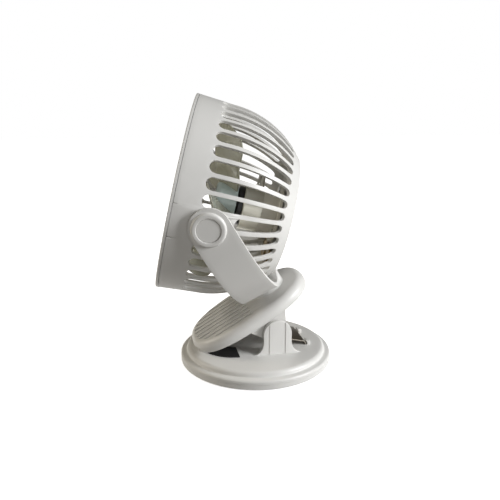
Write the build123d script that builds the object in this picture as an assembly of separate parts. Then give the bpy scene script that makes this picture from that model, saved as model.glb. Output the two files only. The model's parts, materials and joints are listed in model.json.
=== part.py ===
"""Clip fan: a caged fan head in a U-shaped yoke, on a spring clamp with a weighted round base.

Frame: millimetres, +Z up, origin at the centre of the base's underside.  The clamp opens towards
-Y and hinges about X.  Pieces of the jaw, the yoke and the head are drawn in their own frames
(JAW, YOKE, HEAD) and placed once at the end.
"""
from build123d import *
import math
import os

# ---- clearances and walls ---------------------------------------------------------------------
RUN = 0.05            # radial and end play between pieces that turn on each other
SEAT = 0.02           # play between pieces that are fixed to each other
WALL = 2.2            # moulded wall

# ---- base -------------------------------------------------------------------------------------
BASE_R = 60.0         # outer wall
FOOT_H = 0.8          # how far the rubber feet stand proud of the underside
PART_Z = 4.5          # parting line between the two base shells
WALL_TOP_Z, WALL_ARC = 6.05, 0.6   # top of the straight wall; how far the shoulder's arc bulges
SHOULDER_R, SHOULDER_Z = BASE_R - 2.0, 8.0
GROOVE_R, GROOVE_Z = BASE_R - 4.5, 8.6
PLATEAU_R, PLATEAU_Z = BASE_R - 7.8, 12.2
FOOT_R, FOOT_T, FOOT_RING = 5.0, 1.4, BASE_R - 10.0
MIDDLE_FOOT_R = 9.0
BASE_SCREW_RING = BASE_R - 20.0
BOSS_R = 3.8
BALLAST_R, BALLAST_BORE, BALLAST_T = BASE_R - 15.0, 9.0, 5.6

# ---- clamp hinge ------------------------------------------------------------------------------
HINGE_Y, HINGE_RISE = 11.5, 16.0
HINGE_Z = PLATEAU_Z + HINGE_RISE
PIN_R = 2.0
EAR_OUT, EAR_T = 27.0, 3.0        # base ears: outer face at +-X, plate thickness
EAR_R = 11.1                      # rounded top about the hinge
EAR_FOOT, EAR_FLARE_Z = 19.3, 22.0
EAR_GROOVES = (-6.8, 5.9)         # two decorative grooves, offset along Y from the hinge
PIN_SOCKET = 1.8                  # depth of the blind hole in each ear
JEAR_OUT, JEAR_T, JEAR_R = 22.6, 3.0, 8.0     # jaw ears
HOOK_X, HOOK_Y, HOOK_W, HOOK_TOP = 12.0, 39.2, 6.0, 15.4      # two catches behind the spring's lip

# ---- clamp spring (a bent steel leaf) ---------------------------------------------------------
LEAF_HALF_W, LEAF_T = 15.0, 0.8
LEAF_BEND = 7.2                   # bend round the hinge pin, to the middle of the leaf
LEAF_FALL, LEAF_RISE = 12.2, 22.0 # fall of the lower leaf; rise of the upper one towards the jaw
LEAF_END_Y, LEAF_LIP = 36.9, 1.3  # rear corner of the lower leaf; how far its lip leans back
LEAF_FOOT = 0.22                  # middle of the lip's end, over the plateau
LEAF_CORNER = 1.6                 # radius of the small bends
TIP_LEN = 6.0                     # stretch of the upper leaf that lies along the jaw

# ---- base grip pad ----------------------------------------------------------------------------
PAD_Y, PAD_R, PAD_BORE = -18.0, 26.7, 9.0       # half ring of rubber under the jaw's tip
PAD_H, PAD_SINK = 0.9, 0.6

# ---- jaw --------------------------------------------------------------------------------------
JAW_TILT, JAW_RISE = 30.5, 23.56  # top plane: slope, height over the hinge at the base's centre
JAW_Z = HINGE_Z + JAW_RISE
JAW_HALF_W, JAW_FRONT, JAW_REAR = 34.5, -61.5, 40.2
JAW_SQUARE = 2.58                 # superellipse exponent of the outline
JAW_T = 10.5
JAW_TOP_EDGE, JAW_LOW_EDGE = 5.5, 3.0
JAW_PLATE_T = 2.0
PLATE_INSET = 6.0
RIB_END_Y, RIB_PITCH, RIB_N, RIB_GAP, RIB_DEEP, RIB_INSET = -10.1, 6.2, 9, 2.2, 0.8, 5.0
BOSS_Y, SWIVEL_BOSS_R, SWIVEL_BOSS_H = 11.05, 14.0, 8.6
BOLT_R, BOLT_HEAD_R, BOLT_HEAD_T = 3.0, 6.0, 1.5
NUT_AF, NUT_SEAT = 10.0, -3.0     # across flats; roof of the jaw's cavity, which the nut meets
NUT_T = JAW_T - JAW_PLATE_T + NUT_SEAT - 0.5
GRIP_T, GRIP_REAR_Y = 0.9, JAW_FRONT + 37.5

# ---- cage envelope ----------------------------------------------------------------------------
RIM_Z, RIM_R, RIM_FLARE = 27.1, 72.1, 1.7
DOME_R = RIM_R - RIM_FLARE        # sphere about the pivot
DOME_CUT = 15.4                   # height cut off the sphere at the rear
REAR_Z = DOME_CUT - DOME_R        # flat rear disc
PAD_PROUD, PAD_HALF_W = 0.8, 13.0
PAD_X = DOME_R + PAD_PROUD

# ---- yoke -------------------------------------------------------------------------------------
SWIVEL_DEG = 12.0                 # swivel in the modelled pose
YOKE_T, HEAD_GAP, YOKE_FLAT = 3.0, 0.6, 19.1      # strip; air beside the cage; half flat bottom
YOKE_HALF = PAD_X + HEAD_GAP + YOKE_T
YOKE_DROP = DOME_R + HEAD_GAP + YOKE_T
YOKE_CORNER = YOKE_HALF - YOKE_FLAT
WASHER_T = 1.4                    # swivel washer with its play
PIVOT_H = YOKE_DROP + SWIVEL_BOSS_H + WASHER_T    # pivot axis above the jaw's top plane
YOKE_FRONT, YOKE_REAR = 13.0, 14.2
PIVOT_BOSS_R, PIVOT_BOSS_H, CAP_R, CAP_SINK, CAP_T = 11.2, 1.7, 7.8, 0.5, 0.8
SHOULDER_SCREW_R, PIVOT_HEAD_R, PIVOT_HEAD_T, ARM_WEB = 4.0, 6.2, 1.5, 1.6

# ---- head -------------------------------------------------------------------------------------
TILT_DEG = 46.5                   # head axis away from the yoke's axis in the modelled pose
GRILLE_LIP = 2.0                  # front ring of the grille
SHADOW_GAP = 0.3                  # line between the two housings
SLOT_N, RIB_W, SLOT_FRONT, PAD_SLOT_FRONT = 40, 2.7, 8.0, -15.0
SLOT_REAR = REAR_Z + 7.0
PIVOT_POST_R, INSERT_R, INSERT_L, PIVOT_THREAD_R = 7.0, 4.0, 8.6, 2.5
GRILLE_BAR, GRILLE_DEEP, GRILLE_MID_R, HUB_PLATE_R = 2.0, 2.6, 42.0, 16.0
CAGE_SCREW_RING, CAGE_POST_R = RIM_R - 5.9, 3.2
SPIGOT_Z = RIM_Z - 8.1            # where the grille's spigot and the posts end
CAGE_SCREW_Z, CAGE_HEAD_T = SPIGOT_Z + 3.5, 1.5

# ---- motor and blades -------------------------------------------------------------------------
MOTOR_R, MOTOR_FRONT, MOTOR_SEAM, MOTOR_REAR, CAN_T = 17.0, -22.0, -29.0, -36.0, 1.2
SHAFT_R = 1.5
BEARING_R, BEARING_T = 4.0, 3.0
END_CAP_R, END_CAP_T = 14.5, 4.0
MAGNET_T, MAGNET_HALF_L = 3.4, 4.0
ARM_R, ARM_HALF_L = 11.0, 2.4
MOUNT_R, FLANGE_R, FLANGE_T, POST_H = 16.0, 22.0, 2.0, 3.3
MOUNT_SCREW_RING, MOTOR_SCREW_RING = 19.2, 10.0
HUB_R, HUB_FRONT, HUB_REAR = 15.0, -1.0, -17.0
BLADE_N, BLADE_T, TIP_GAP = 5, 1.6, 5.0
BLADE_R = CAGE_SCREW_RING - CAGE_POST_R - TIP_GAP
BLADE_FRONT = 9.6
# one blade's sections: radius, chord, pitch in degrees, lag behind the radius, middle height
BLADE_SECTIONS = ((12.0, 16.0, 60, 0.0, -9.2), (34.0, 34.0, 34, 3.0, -3.4),
                  (BLADE_R + 3.0, 48.0, 24, 7.0, -1.2))

# ---- electrics --------------------------------------------------------------------------------
BOARD_Y, BOARD_W, BOARD_L, BOARD_T = -31.0, 15.0, 40.0, 1.5
BUTTON_X, BUTTON_R, BUTTON_PROUD, BUTTON_TRAVEL = -7.5, 5.0, 1.2, 0.5
SOCKET_X, SOCKET_W, SOCKET_H = 9.0, 9.0, 3.3
LEAD_R = 0.8

# ---- frames -----------------------------------------------------------------------------------
JAW = Pos(0, 0, JAW_Z) * Rot(JAW_TILT, 0, 0)
YOKE = JAW * Pos(0, BOSS_Y, PIVOT_H) * Rot(0, 0, -SWIVEL_DEG)
HEAD = YOKE * Rot(TILT_DEG, 0, 0)


# ---- small helpers ----------------------------------------------------------------------------
def disc(radius, z0, z1, x=0.0, y=0.0):
    """Cylinder along Z between two heights."""
    return Pos(x, y, (z0 + z1) / 2) * Cylinder(radius, abs(z1 - z0))


def tube(outer, inner, z0, z1, x=0.0, y=0.0):
    """Hollow cylinder along Z."""
    return disc(outer, z0, z1, x, y) - disc(inner, min(z0, z1) - 1, max(z0, z1) + 1, x, y)


def block(x0, x1, y0, y1, z0, z1):
    """Box between corner values."""
    return Pos((x0 + x1) / 2, (y0 + y1) / 2, (z0 + z1) / 2) * Box(x1 - x0, y1 - y0, z1 - z0)


def along_x(radius, x0, x1, y=0.0, z=0.0):
    """Cylinder along X."""
    return Pos((x0 + x1) / 2, y, z) * Rot(0, 90, 0) * Cylinder(radius, abs(x1 - x0))


def ring_places(count, radius, start=0.0):
    """Evenly spaced (x, y) places on a circle."""
    step = 2 * math.pi / count
    first = math.radians(start)
    return [(radius * math.cos(first + i * step), radius * math.sin(first + i * step))
            for i in range(count)]


def group(pieces):
    """Identical separate pieces kept as one group of solids."""
    return Compound(children=[p.solid() if hasattr(p, "solid") else p for p in pieces])


# ---- base -------------------------------------------------------------------------------------
BASE_SCREWS = ring_places(4, BASE_SCREW_RING, 45)
FEET = [(x, y, FOOT_R) for x, y in ring_places(4, FOOT_RING, 0)] + [(0.0, 0.0, MIDDLE_FOOT_R)]
SHELL_IN_R = BASE_R - WALL
FLOOR_Z = FOOT_H + 2.0            # inside floor of the lower shell
LIP_T, LIP_GAP = 1.6, 0.1         # the cover's lip inside the lower shell


def base_lower_shell():
    shell = disc(BASE_R, FOOT_H, PART_Z)
    shell = chamfer(shell.edges().group_by(Axis.Z)[0], 0.6)
    shell -= disc(SHELL_IN_R, FLOOR_Z, PART_Z + 1)
    for x, y, radius in FEET:
        shell -= disc(radius + SEAT, 0, FOOT_T, x, y)
    for x, y in BASE_SCREWS:
        shell -= disc(3.0, 0, FOOT_H + 1.2, x, y) + disc(1.6, 0, PART_Z, x, y)
    return shell


def cover_outline():
    """Outer profile of the cover: wall, soft shoulder, shallow groove, second shoulder, plateau."""
    lip = SHELL_IN_R - LIP_T
    edge = (
        Line((BASE_R, 0, PART_Z), (BASE_R, 0, WALL_TOP_Z))
        + ThreePointArc((BASE_R, 0, WALL_TOP_Z), (BASE_R - WALL_ARC, 0, SHOULDER_Z - 0.65),
                        (SHOULDER_R, 0, SHOULDER_Z))
        + Line((SHOULDER_R, 0, SHOULDER_Z), (GROOVE_R, 0, GROOVE_Z))
        + ThreePointArc((GROOVE_R, 0, GROOVE_Z), (GROOVE_R - 0.9, 0, PLATEAU_Z - 1.6),
                        (PLATEAU_R, 0, PLATEAU_Z))
        + Polyline((PLATEAU_R, 0, PLATEAU_Z), (0, 0, PLATEAU_Z), (0, 0, PLATEAU_Z - WALL),
                   (PLATEAU_R - WALL, 0, PLATEAU_Z - WALL), (PLATEAU_R + 0.8, 0, GROOVE_Z - WALL),
                   (lip, 0, SHOULDER_Z - 1.8), (lip, 0, FLOOR_Z + LIP_GAP),
                   (SHELL_IN_R - LIP_GAP, 0, FLOOR_Z + LIP_GAP),
                   (SHELL_IN_R - LIP_GAP, 0, PART_Z), (BASE_R, 0, PART_Z))
    )
    return revolve(make_face(edge), Axis.Z)


def base_ear(side):
    """Upright plate with a flared foot and a rounded top, on the +X or -X side."""
    y, z = HINGE_Y, HINGE_Z
    foot_z = PLATEAU_Z - 1.0
    bend_y = EAR_FOOT - (EAR_FOOT - EAR_R) * math.cos(math.radians(45))
    bend_z = EAR_FLARE_Z - (EAR_FLARE_Z - PLATEAU_Z) * math.sin(math.radians(45))
    outline = (
        Polyline((y - EAR_R, z), (y - EAR_R, EAR_FLARE_Z))
        + ThreePointArc((y - EAR_R, EAR_FLARE_Z), (y - bend_y, bend_z), (y - EAR_FOOT, PLATEAU_Z))
        + Polyline((y - EAR_FOOT, PLATEAU_Z), (y - EAR_FOOT, foot_z), (y + EAR_FOOT, foot_z),
                   (y + EAR_FOOT, PLATEAU_Z))
        + ThreePointArc((y + EAR_FOOT, PLATEAU_Z), (y + bend_y, bend_z), (y + EAR_R, EAR_FLARE_Z))
        + Line((y + EAR_R, EAR_FLARE_Z), (y + EAR_R, z))
        + ThreePointArc((y + EAR_R, z), (y, z + EAR_R), (y - EAR_R, z))
    )
    inner = EAR_OUT - EAR_T
    plate = extrude(Plane.YZ.offset(inner) * make_face(outline), EAR_T)
    for offset in EAR_GROOVES:
        plate -= block(EAR_OUT - 0.6, EAR_OUT + 1, y + offset - 0.4, y + offset + 0.4, PLATEAU_Z, 60)
    plate -= along_x(PIN_R + SEAT, inner - 1, inner + PIN_SOCKET, y, z)
    return plate if side > 0 else mirror(plate, Plane.YZ)


def hook(x):
    """Catch that leans over the foot of the spring's lip."""
    half = HOOK_W / 2
    catch = block(x - half, x + half, HOOK_Y, HOOK_Y + 2.6, PLATEAU_Z - 1, HOOK_TOP)
    catch += block(x - half, x + half, HOOK_Y - 0.7, HOOK_Y + 1, HOOK_TOP - 1.2, HOOK_TOP)
    return fillet(catch.edges().group_by(Axis.Z)[-1], 0.5)


def base_top_cover():
    cover = cover_outline() + [base_ear(1), base_ear(-1)]
    for x, y in BASE_SCREWS:
        cover += disc(BOSS_R, FLOOR_Z, PLATEAU_Z - 1, x, y)
        cover -= disc(1.3, 0, 9.0, x, y)
    hooks = [hook(-HOOK_X), hook(HOOK_X)]
    pocket = pad_plan(PLATEAU_Z - PAD_SINK, PLATEAU_Z + 8, SEAT)
    return cover + hooks - pocket


def pad_plan(z0, z1, grow):
    """Plan of the grip pad: the front half of a ring, between two heights."""
    plan = tube(PAD_R + grow, PAD_BORE - grow, z0, z1, 0, PAD_Y)
    return plan - block(-60, 60, PAD_Y + grow, 60, z0 - 1, z1 + 1)


def base_grip_pad():
    """Flat half ring of rubber, glued into a shallow pocket."""
    pad = pad_plan(PLATEAU_Z - PAD_SINK, PLATEAU_Z + PAD_H, 0.0)
    return fillet(pad.edges().group_by(Axis.Z)[-1], 0.3)


def base_ballast():
    weight = tube(BALLAST_R, BALLAST_BORE, FLOOR_Z, FLOOR_Z + BALLAST_T)
    for x, y in BASE_SCREWS:
        weight -= disc(BOSS_R + 0.3, 0, 20, x, y)
    return weight


def rubber_feet():
    return group([disc(radius, 0, FOOT_T, x, y) for x, y, radius in FEET])


def base_screws():
    screws = []
    for x, y in BASE_SCREWS:
        screw = disc(2.8, FOOT_H + 0.1, FOOT_H + 1.2, x, y) + disc(1.28, FOOT_H + 0.1, 8.6, x, y)
        screw -= block(x - 1.5, x + 1.5, y - 0.3, y + 0.3, 0, FOOT_H + 0.6)
        screw -= block(x - 0.3, x + 0.3, y - 1.5, y + 1.5, 0, FOOT_H + 0.6)
        screws.append(screw)
    return group(screws)


def hinge_pin():
    reach = EAR_OUT - EAR_T + PIN_SOCKET
    pin = along_x(PIN_R, -reach, reach, HINGE_Y, HINGE_Z)
    return chamfer(pin.edges().filter_by(GeomType.CIRCLE), 0.3)


# ---- clamp spring -----------------------------------------------------------------------------
def under_jaw_distance():
    """Distance from the hinge axis to the jaw's flat underside."""
    tilt = math.radians(JAW_TILT)
    along_normal = -math.sin(tilt) * HINGE_Y + math.cos(tilt) * (HINGE_Z - JAW_Z)
    return -JAW_T - along_normal


def from_hinge(degrees, distance):
    """Point in the YZ plane at an angle, from +Y towards +Z, and a distance from the hinge."""
    turn = math.radians(degrees)
    return Vector(0, HINGE_Y + distance * math.cos(turn), HINGE_Z + distance * math.sin(turn))


def slope(degrees):
    """Unit vector in the YZ plane."""
    return Vector(0, math.cos(math.radians(degrees)), math.sin(math.radians(degrees)))


def leaf_route():
    """Middle line of the leaf: lip, lower leaf, bend round the pin, upper leaf, tip."""
    high = JAW_TILT + LEAF_RISE
    low_start = from_hinge(-90 - LEAF_FALL, LEAF_BEND)
    high_start = from_hinge(90 + high, LEAF_BEND)
    reach = (LEAF_END_Y - low_start.Y) / math.cos(math.radians(LEAF_FALL))
    rear = low_start + slope(-LEAF_FALL) * reach
    foot = Vector(0, LEAF_END_Y + LEAF_LIP, PLATEAU_Z + LEAF_FOOT)
    turn = math.radians(LEAF_RISE)
    gap = under_jaw_distance() - LEAF_T / 2 - RUN
    run = (gap - LEAF_BEND * math.cos(turn)) / math.sin(turn)
    touch = high_start + slope(high) * run
    tip = touch + slope(JAW_TILT) * TIP_LEN
    lower = FilletPolyline(foot, rear, low_start, radius=LEAF_CORNER)
    bend = ThreePointArc(low_start, from_hinge(180 + (high - LEAF_FALL) / 2, LEAF_BEND), high_start)
    upper = FilletPolyline(high_start, touch, tip, radius=LEAF_CORNER)
    return [*lower.edges(), bend, *upper.edges()], foot, (rear - foot).normalized()


def clamp_spring():
    """Spring-steel strip, folded round the hinge pin, that pushes the clip's handles apart."""
    edges, foot, start = leaf_route()
    section = Plane(origin=foot, x_dir=(1, 0, 0), z_dir=start) * Rectangle(2 * LEAF_HALF_W, LEAF_T)
    return sweep(section, path=Wire(edges))


# ---- jaw (drawn in the JAW frame: top plane at z = 0) -------------------------------------------
JAW_MID = (JAW_FRONT + JAW_REAR) / 2
JAW_HALF_L = (JAW_REAR - JAW_FRONT) / 2


def jaw_outline(inset):
    """Superellipse outline of the jaw, drawn in by a distance."""
    a, b = JAW_HALF_W - inset, JAW_HALF_L - inset
    points = []
    for i in range(32):
        t = 2 * math.pi * i / 32
        c, s = math.cos(t), math.sin(t)
        points.append((a * math.copysign(abs(c) ** (2 / JAW_SQUARE), c),
                       JAW_MID + b * math.copysign(abs(s) ** (2 / JAW_SQUARE), s)))
    return make_face(Spline(*points, periodic=True))


def jaw_slab(inset, z0, z1):
    return extrude(Pos(0, 0, z0) * jaw_outline(inset), z1 - z0)


JAW_SCREW_X = JAW_HALF_W - 18.5
JAW_SCREWS = [(x, y) for x in (-JAW_SCREW_X, JAW_SCREW_X)
              for y in (JAW_FRONT + 25.5, JAW_REAR - 14.2)]


def jaw_top_shell():
    """Rounded cover with lengthwise ribs at the front and the round swivel boss at the rear."""
    shell = jaw_slab(0, -JAW_T, 0)
    shell = fillet(shell.edges().group_by(Axis.Z)[-1], JAW_TOP_EDGE)
    shell = fillet(shell.edges().group_by(Axis.Z)[0], JAW_LOW_EDGE)
    shell -= jaw_slab(PLATE_INSET + 1.5, -JAW_T - 1, -2.6)
    shell -= jaw_slab(PLATE_INSET, -JAW_T - 1, -JAW_T + JAW_PLATE_T)
    ribs = []
    for i in range(RIB_N):
        x = (i - (RIB_N - 1) / 2) * RIB_PITCH
        ribs.append(block(x - RIB_GAP / 2, x + RIB_GAP / 2, JAW_FRONT, RIB_END_Y, -RIB_DEEP, 1))
    field = jaw_slab(RIB_INSET, -RIB_DEEP, 1)
    shell -= [rib & field for rib in ribs]
    boss = disc(SWIVEL_BOSS_R, NUT_SEAT, SWIVEL_BOSS_H, 0, BOSS_Y)
    boss = fillet(boss.edges().group_by(Axis.Z)[-1], 0.8)
    shell += boss
    for x, y in JAW_SCREWS:
        shell += disc(3.4, -JAW_T + JAW_PLATE_T, -2, x, y)
        shell -= disc(1.3, -JAW_T - 1, -3.2, x, y)
    return shell - disc(BOLT_R + SEAT, -20, 20, 0, BOSS_Y)


def hinge_in_jaw():
    """Place of the hinge axis in the jaw's frame."""
    tilt = math.radians(JAW_TILT)
    dz = HINGE_Z - JAW_Z
    return (HINGE_Y * math.cos(tilt) + dz * math.sin(tilt),
            -HINGE_Y * math.sin(tilt) + dz * math.cos(tilt))


def jaw_ear(side):
    """Plate that reaches down to the hinge pin, inside the base's ears."""
    y, z = hinge_in_jaw()
    top = -JAW_T + 0.5
    lean = math.radians(JAW_TILT)
    corner = (y - 12.5 * math.cos(lean), z + 12.5 * math.sin(lean))
    lobe = Pos(y, z) * Circle(JEAR_R)
    toe = Pos(corner[0] + 1, corner[1]) * Circle(1.0)
    root = Line((y - 20, top), (y + 17, top))
    outline = make_hull(ShapeList([*lobe.edges(), *toe.edges(), *root.edges()]))
    inner = JEAR_OUT - JEAR_T
    plate = extrude(Plane.YZ.offset(inner) * outline, JEAR_T)
    plate -= along_x(PIN_R + RUN, inner - 1, JEAR_OUT + 1, y, z)
    return plate if side > 0 else mirror(plate, Plane.YZ)


def jaw_lower_plate():
    plate = jaw_slab(PLATE_INSET + 0.1, -JAW_T, -JAW_T + JAW_PLATE_T)
    plate += [jaw_ear(1), jaw_ear(-1)]
    plate -= grip_slab(0.1, -JAW_T, -JAW_T + 0.9)
    for x, y in JAW_SCREWS:
        plate -= disc(1.6, -JAW_T - 2, 0, x, y) + disc(3.0, -JAW_T - 2, -JAW_T + 1.1, x, y)
    return plate


def grip_slab(grow, z0, z1):
    """Front part of the underside that carries the rubber."""
    pad = jaw_slab(PLATE_INSET + 3.5 - grow, z0, z1)
    wide = JAW_HALF_W + 10
    return pad - block(-wide, wide, GRIP_REAR_Y + grow, JAW_REAR + 10, z0 - 1, z1 + 1)


def jaw_grip_pad():
    pad = grip_slab(0, -JAW_T - GRIP_T + 0.5, -JAW_T + 0.9)
    for x, y in JAW_SCREWS:
        pad -= disc(3.2, -JAW_T - 3, 0, x, y)
    return pad


def jaw_screws():
    low = -JAW_T + 0.1
    return group([disc(2.8, low, -JAW_T + 1.1, x, y) + disc(1.28, low, -3.6, x, y)
                  for x, y in JAW_SCREWS])


YOKE_UNDER = PIVOT_H - YOKE_DROP          # underside of the yoke above the jaw's top plane
HEAD_TOP = YOKE_UNDER + YOKE_T - RUN      # top of the swivel bolt, flush with the yoke's inside


def swivel_washer():
    return tube(SWIVEL_BOSS_R - 1.5, BOLT_R + 0.1, SWIVEL_BOSS_H, YOKE_UNDER - RUN, 0, BOSS_Y)


def swivel_bolt():
    """Flat-headed bolt sunk in the yoke, with a hex recess."""
    bolt = disc(BOLT_R, NUT_SEAT - NUT_T - 0.2, HEAD_TOP - 0.5, 0, BOSS_Y)
    bolt += disc(BOLT_HEAD_R, HEAD_TOP - BOLT_HEAD_T, HEAD_TOP, 0, BOSS_Y)
    socket = extrude(Pos(0, BOSS_Y, HEAD_TOP - 1.6) * RegularPolygon(2.0, 6), 3)
    return bolt - socket


def swivel_nut():
    hexagon = Pos(0, BOSS_Y, NUT_SEAT - NUT_T) * RegularPolygon(NUT_AF / 2, 6, major_radius=False)
    return extrude(hexagon, NUT_T) - disc(BOLT_R + SEAT, NUT_SEAT - NUT_T - 1, 0, 0, BOSS_Y)


# ---- yoke (drawn in the YOKE frame: origin at the pivot axis) -----------------------------------
def u_profile(shrink):
    """U outline in the XZ plane, drawn in by a distance, up past the pivot."""
    half, drop, corner = YOKE_HALF - shrink, YOKE_DROP - shrink, YOKE_CORNER - shrink
    cx, cz = half - corner, corner - drop
    s = corner * math.sin(math.pi / 4)
    top = YOKE_REAR + 5.8
    edge = (
        Polyline((-half, 0, cz), (-half, 0, top), (half, 0, top), (half, 0, cz))
        + ThreePointArc((half, 0, cz), (cx + s, 0, cz - s), (cx, 0, -drop))
        + Line((cx, 0, -drop), (-cx, 0, -drop))
        + ThreePointArc((-cx, 0, -drop), (-cx - s, 0, cz - s), (-half, 0, cz))
    )
    return make_face(edge)


def yoke():
    width = YOKE_FRONT + YOKE_REAR
    mid = (YOKE_REAR - YOKE_FRONT) / 2
    strip = extrude(u_profile(0), 2 * width, both=True) - extrude(u_profile(YOKE_T), 2 * width + 1, both=True)
    wide, deep = YOKE_HALF + 15, YOKE_DROP + 16
    side = block(-wide, wide, -YOKE_FRONT, YOKE_REAR, -deep, 0) + along_x(width / 2, -wide, wide, mid, 0)
    strip = strip & side
    edges = [e for e in strip.edges() if e.length > 8.0]
    strip = fillet(edges, 0.7)
    outer = YOKE_HALF + PIVOT_BOSS_H
    inner = YOKE_HALF - YOKE_T
    for s in (-1, 1):
        boss = along_x(PIVOT_BOSS_R, s * (inner + 0.5), s * outer)
        rim = boss.edges().filter_by(GeomType.CIRCLE).sort_by(Axis.X)[-1 if s > 0 else 0]
        strip += chamfer(rim, 1.2)
        strip -= along_x(CAP_R + SEAT, s * (outer - CAP_SINK - CAP_T), s * (outer + 2))
        strip -= along_x(PIVOT_HEAD_R + 0.3, s * (inner + ARM_WEB), s * outer)
        strip -= along_x(SHOULDER_SCREW_R + RUN, s * (inner - 1), s * outer)
    seat = YOKE_UNDER - PIVOT_H
    strip -= disc(BOLT_R + RUN, seat - 1, seat + 5)
    strip -= disc(BOLT_HEAD_R + RUN, HEAD_TOP - BOLT_HEAD_T - RUN - PIVOT_H, seat + 9)
    return strip


def pivot_caps():
    """Plain discs that hide the pivot screws."""
    outer = YOKE_HALF + PIVOT_BOSS_H - CAP_SINK
    caps = []
    for s in (-1, 1):
        cap = along_x(CAP_R, s * (outer - CAP_T), s * outer)
        edge = cap.edges().filter_by(GeomType.CIRCLE).sort_by(Axis.X)[-1 if s > 0 else 0]
        caps.append(chamfer(edge, 0.25))
    return group(caps)


# ---- head (drawn in the HEAD frame: origin at the pivot, +Z out of the front) -------------------
HOUSING_Z = RIM_Z - GRILLE_LIP - SHADOW_GAP
INNER_DOME = DOME_R - WALL
INNER_REAR = REAR_Z + WALL
CAGE_SCREWS = ring_places(4, CAGE_SCREW_RING, 45)
MOUNT_SCREWS = ring_places(3, MOUNT_SCREW_RING, 90)
BOARD_POSTS = [(x, BOARD_Y) for x in (-BOARD_L / 2 + 3, BOARD_L / 2 - 3)]
BOARD_REAR = INNER_REAR + POST_H
BOARD_FRONT = BOARD_REAR + BOARD_T


def wall_radius(z, sphere):
    """Radius of the housing at a height: cone in front of the pivot plane, sphere behind it."""
    if z >= 0:
        return sphere + (RIM_R - DOME_R) * z / RIM_Z
    return math.sqrt(sphere ** 2 - z ** 2)


def bowl(sphere, front, rear):
    """Solid bowl of revolution: cone, sphere, flat rear."""
    r_front, r_rear = wall_radius(front, sphere), math.sqrt(sphere ** 2 - rear ** 2)
    bend = math.asin(-rear / sphere) / 2
    edge = (
        Polyline((0, 0, rear), (0, 0, front), (r_front, 0, front), (sphere, 0, 0))
        + ThreePointArc((sphere, 0, 0), (sphere * math.cos(bend), 0, -sphere * math.sin(bend)),
                        (r_rear, 0, rear))
        + Line((r_rear, 0, rear), (0, 0, rear))
    )
    return revolve(make_face(edge), Axis.Z)


def slot_width(z):
    return 2 * math.pi * wall_radius(z, DOME_R) / SLOT_N - RIB_W


SLOT_REACH = 40.0                 # length of a slot's cutter, well past the wall


def slot_cutter(front, rear):
    """Round-ended opening that narrows towards the rear, so that the ribs keep one width."""
    z_front, z_rear = front - slot_width(front) / 2, rear + slot_width(rear) / 2
    z_mid = (z_front + z_rear) / 2
    wf, wm, wr = (slot_width(z) / 2 for z in (z_front, z_mid, z_rear))
    edge = (
        ThreePointArc((wf, z_front), (0, front), (-wf, z_front))
        + ThreePointArc((-wf, z_front), (-wm, z_mid), (-wr, z_rear))
        + ThreePointArc((-wr, z_rear), (0, rear), (wr, z_rear))
        + ThreePointArc((wr, z_rear), (wm, z_mid), (wf, z_front))
    )
    return extrude(Plane.YZ * make_face(edge), SLOT_REACH)


def slots():
    """All openings around the cage; those beside the pivot pads are shorter."""
    step = 360 / SLOT_N
    long_slot = slot_cutter(SLOT_FRONT, SLOT_REAR)
    short_slot = slot_cutter(PAD_SLOT_FRONT, SLOT_REAR)
    cuts = []
    for i in range(SLOT_N):
        angle = (i + 0.5) * step
        beside_pad = abs(math.sin(math.radians(angle))) < math.sin(math.radians(step))
        cutter = short_slot if beside_pad else long_slot
        cuts.append(Rot(0, 0, angle) * Pos(DOME_R - 28.4, 0, 0) * cutter)
    return cuts


def pivot_pad(side):
    """Flat pad and screw post at the side of the cage."""
    pad = block(DOME_R - 8.4, PAD_X, -PAD_HALF_W, PAD_HALF_W, PAD_SLOT_FRONT, HOUSING_Z - 4)
    pad = pad & bowl(DOME_R + 3, HOUSING_Z, REAR_Z)
    pad -= bowl(INNER_DOME, HOUSING_Z + 1, INNER_REAR)
    pad += along_x(PIVOT_POST_R, PAD_X - INSERT_L - 1.4, PAD_X)
    return pad if side > 0 else mirror(pad, Plane.YZ)


def rear_housing():
    """Slotted cage: side wall, ribs and rear disc in one moulding."""
    shell = bowl(DOME_R, HOUSING_Z, REAR_Z)
    shell = fillet(shell.edges().group_by(Axis.Z)[0], 1.5)
    shell -= bowl(INNER_DOME, HOUSING_Z + 1, INNER_REAR)
    shell -= slots()
    shell += [pivot_pad(1), pivot_pad(-1)]
    for s in (-1, 1):
        shell -= along_x(INSERT_R + SEAT, s * (PAD_X - INSERT_L), s * (PAD_X + 3))
    for x, y in CAGE_SCREWS:
        post = disc(CAGE_POST_R, SPIGOT_Z - 10, SPIGOT_Z, x, y) & bowl(DOME_R - 0.5, RIM_Z, REAR_Z)
        shell += post
        shell -= disc(1.2, SPIGOT_Z - 8, RIM_Z + 3, x, y)
    for x, y in MOUNT_SCREWS + BOARD_POSTS:
        shell += disc(2.6, INNER_REAR - 1, BOARD_REAR, x, y)
        shell -= disc(1.0, INNER_REAR - 0.6, MOTOR_REAR, x, y)
    shell -= disc(BUTTON_R + 0.15, REAR_Z - 1, INNER_REAR + 0.5, BUTTON_X, BOARD_Y)
    half_w, half_h = SOCKET_W / 2 + 0.15, SOCKET_H / 2 + 0.15
    shell -= block(SOCKET_X - half_w, SOCKET_X + half_w, BOARD_Y - half_h, BOARD_Y + half_h,
                   REAR_Z - 1, INNER_REAR + 0.5)
    return shell


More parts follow.
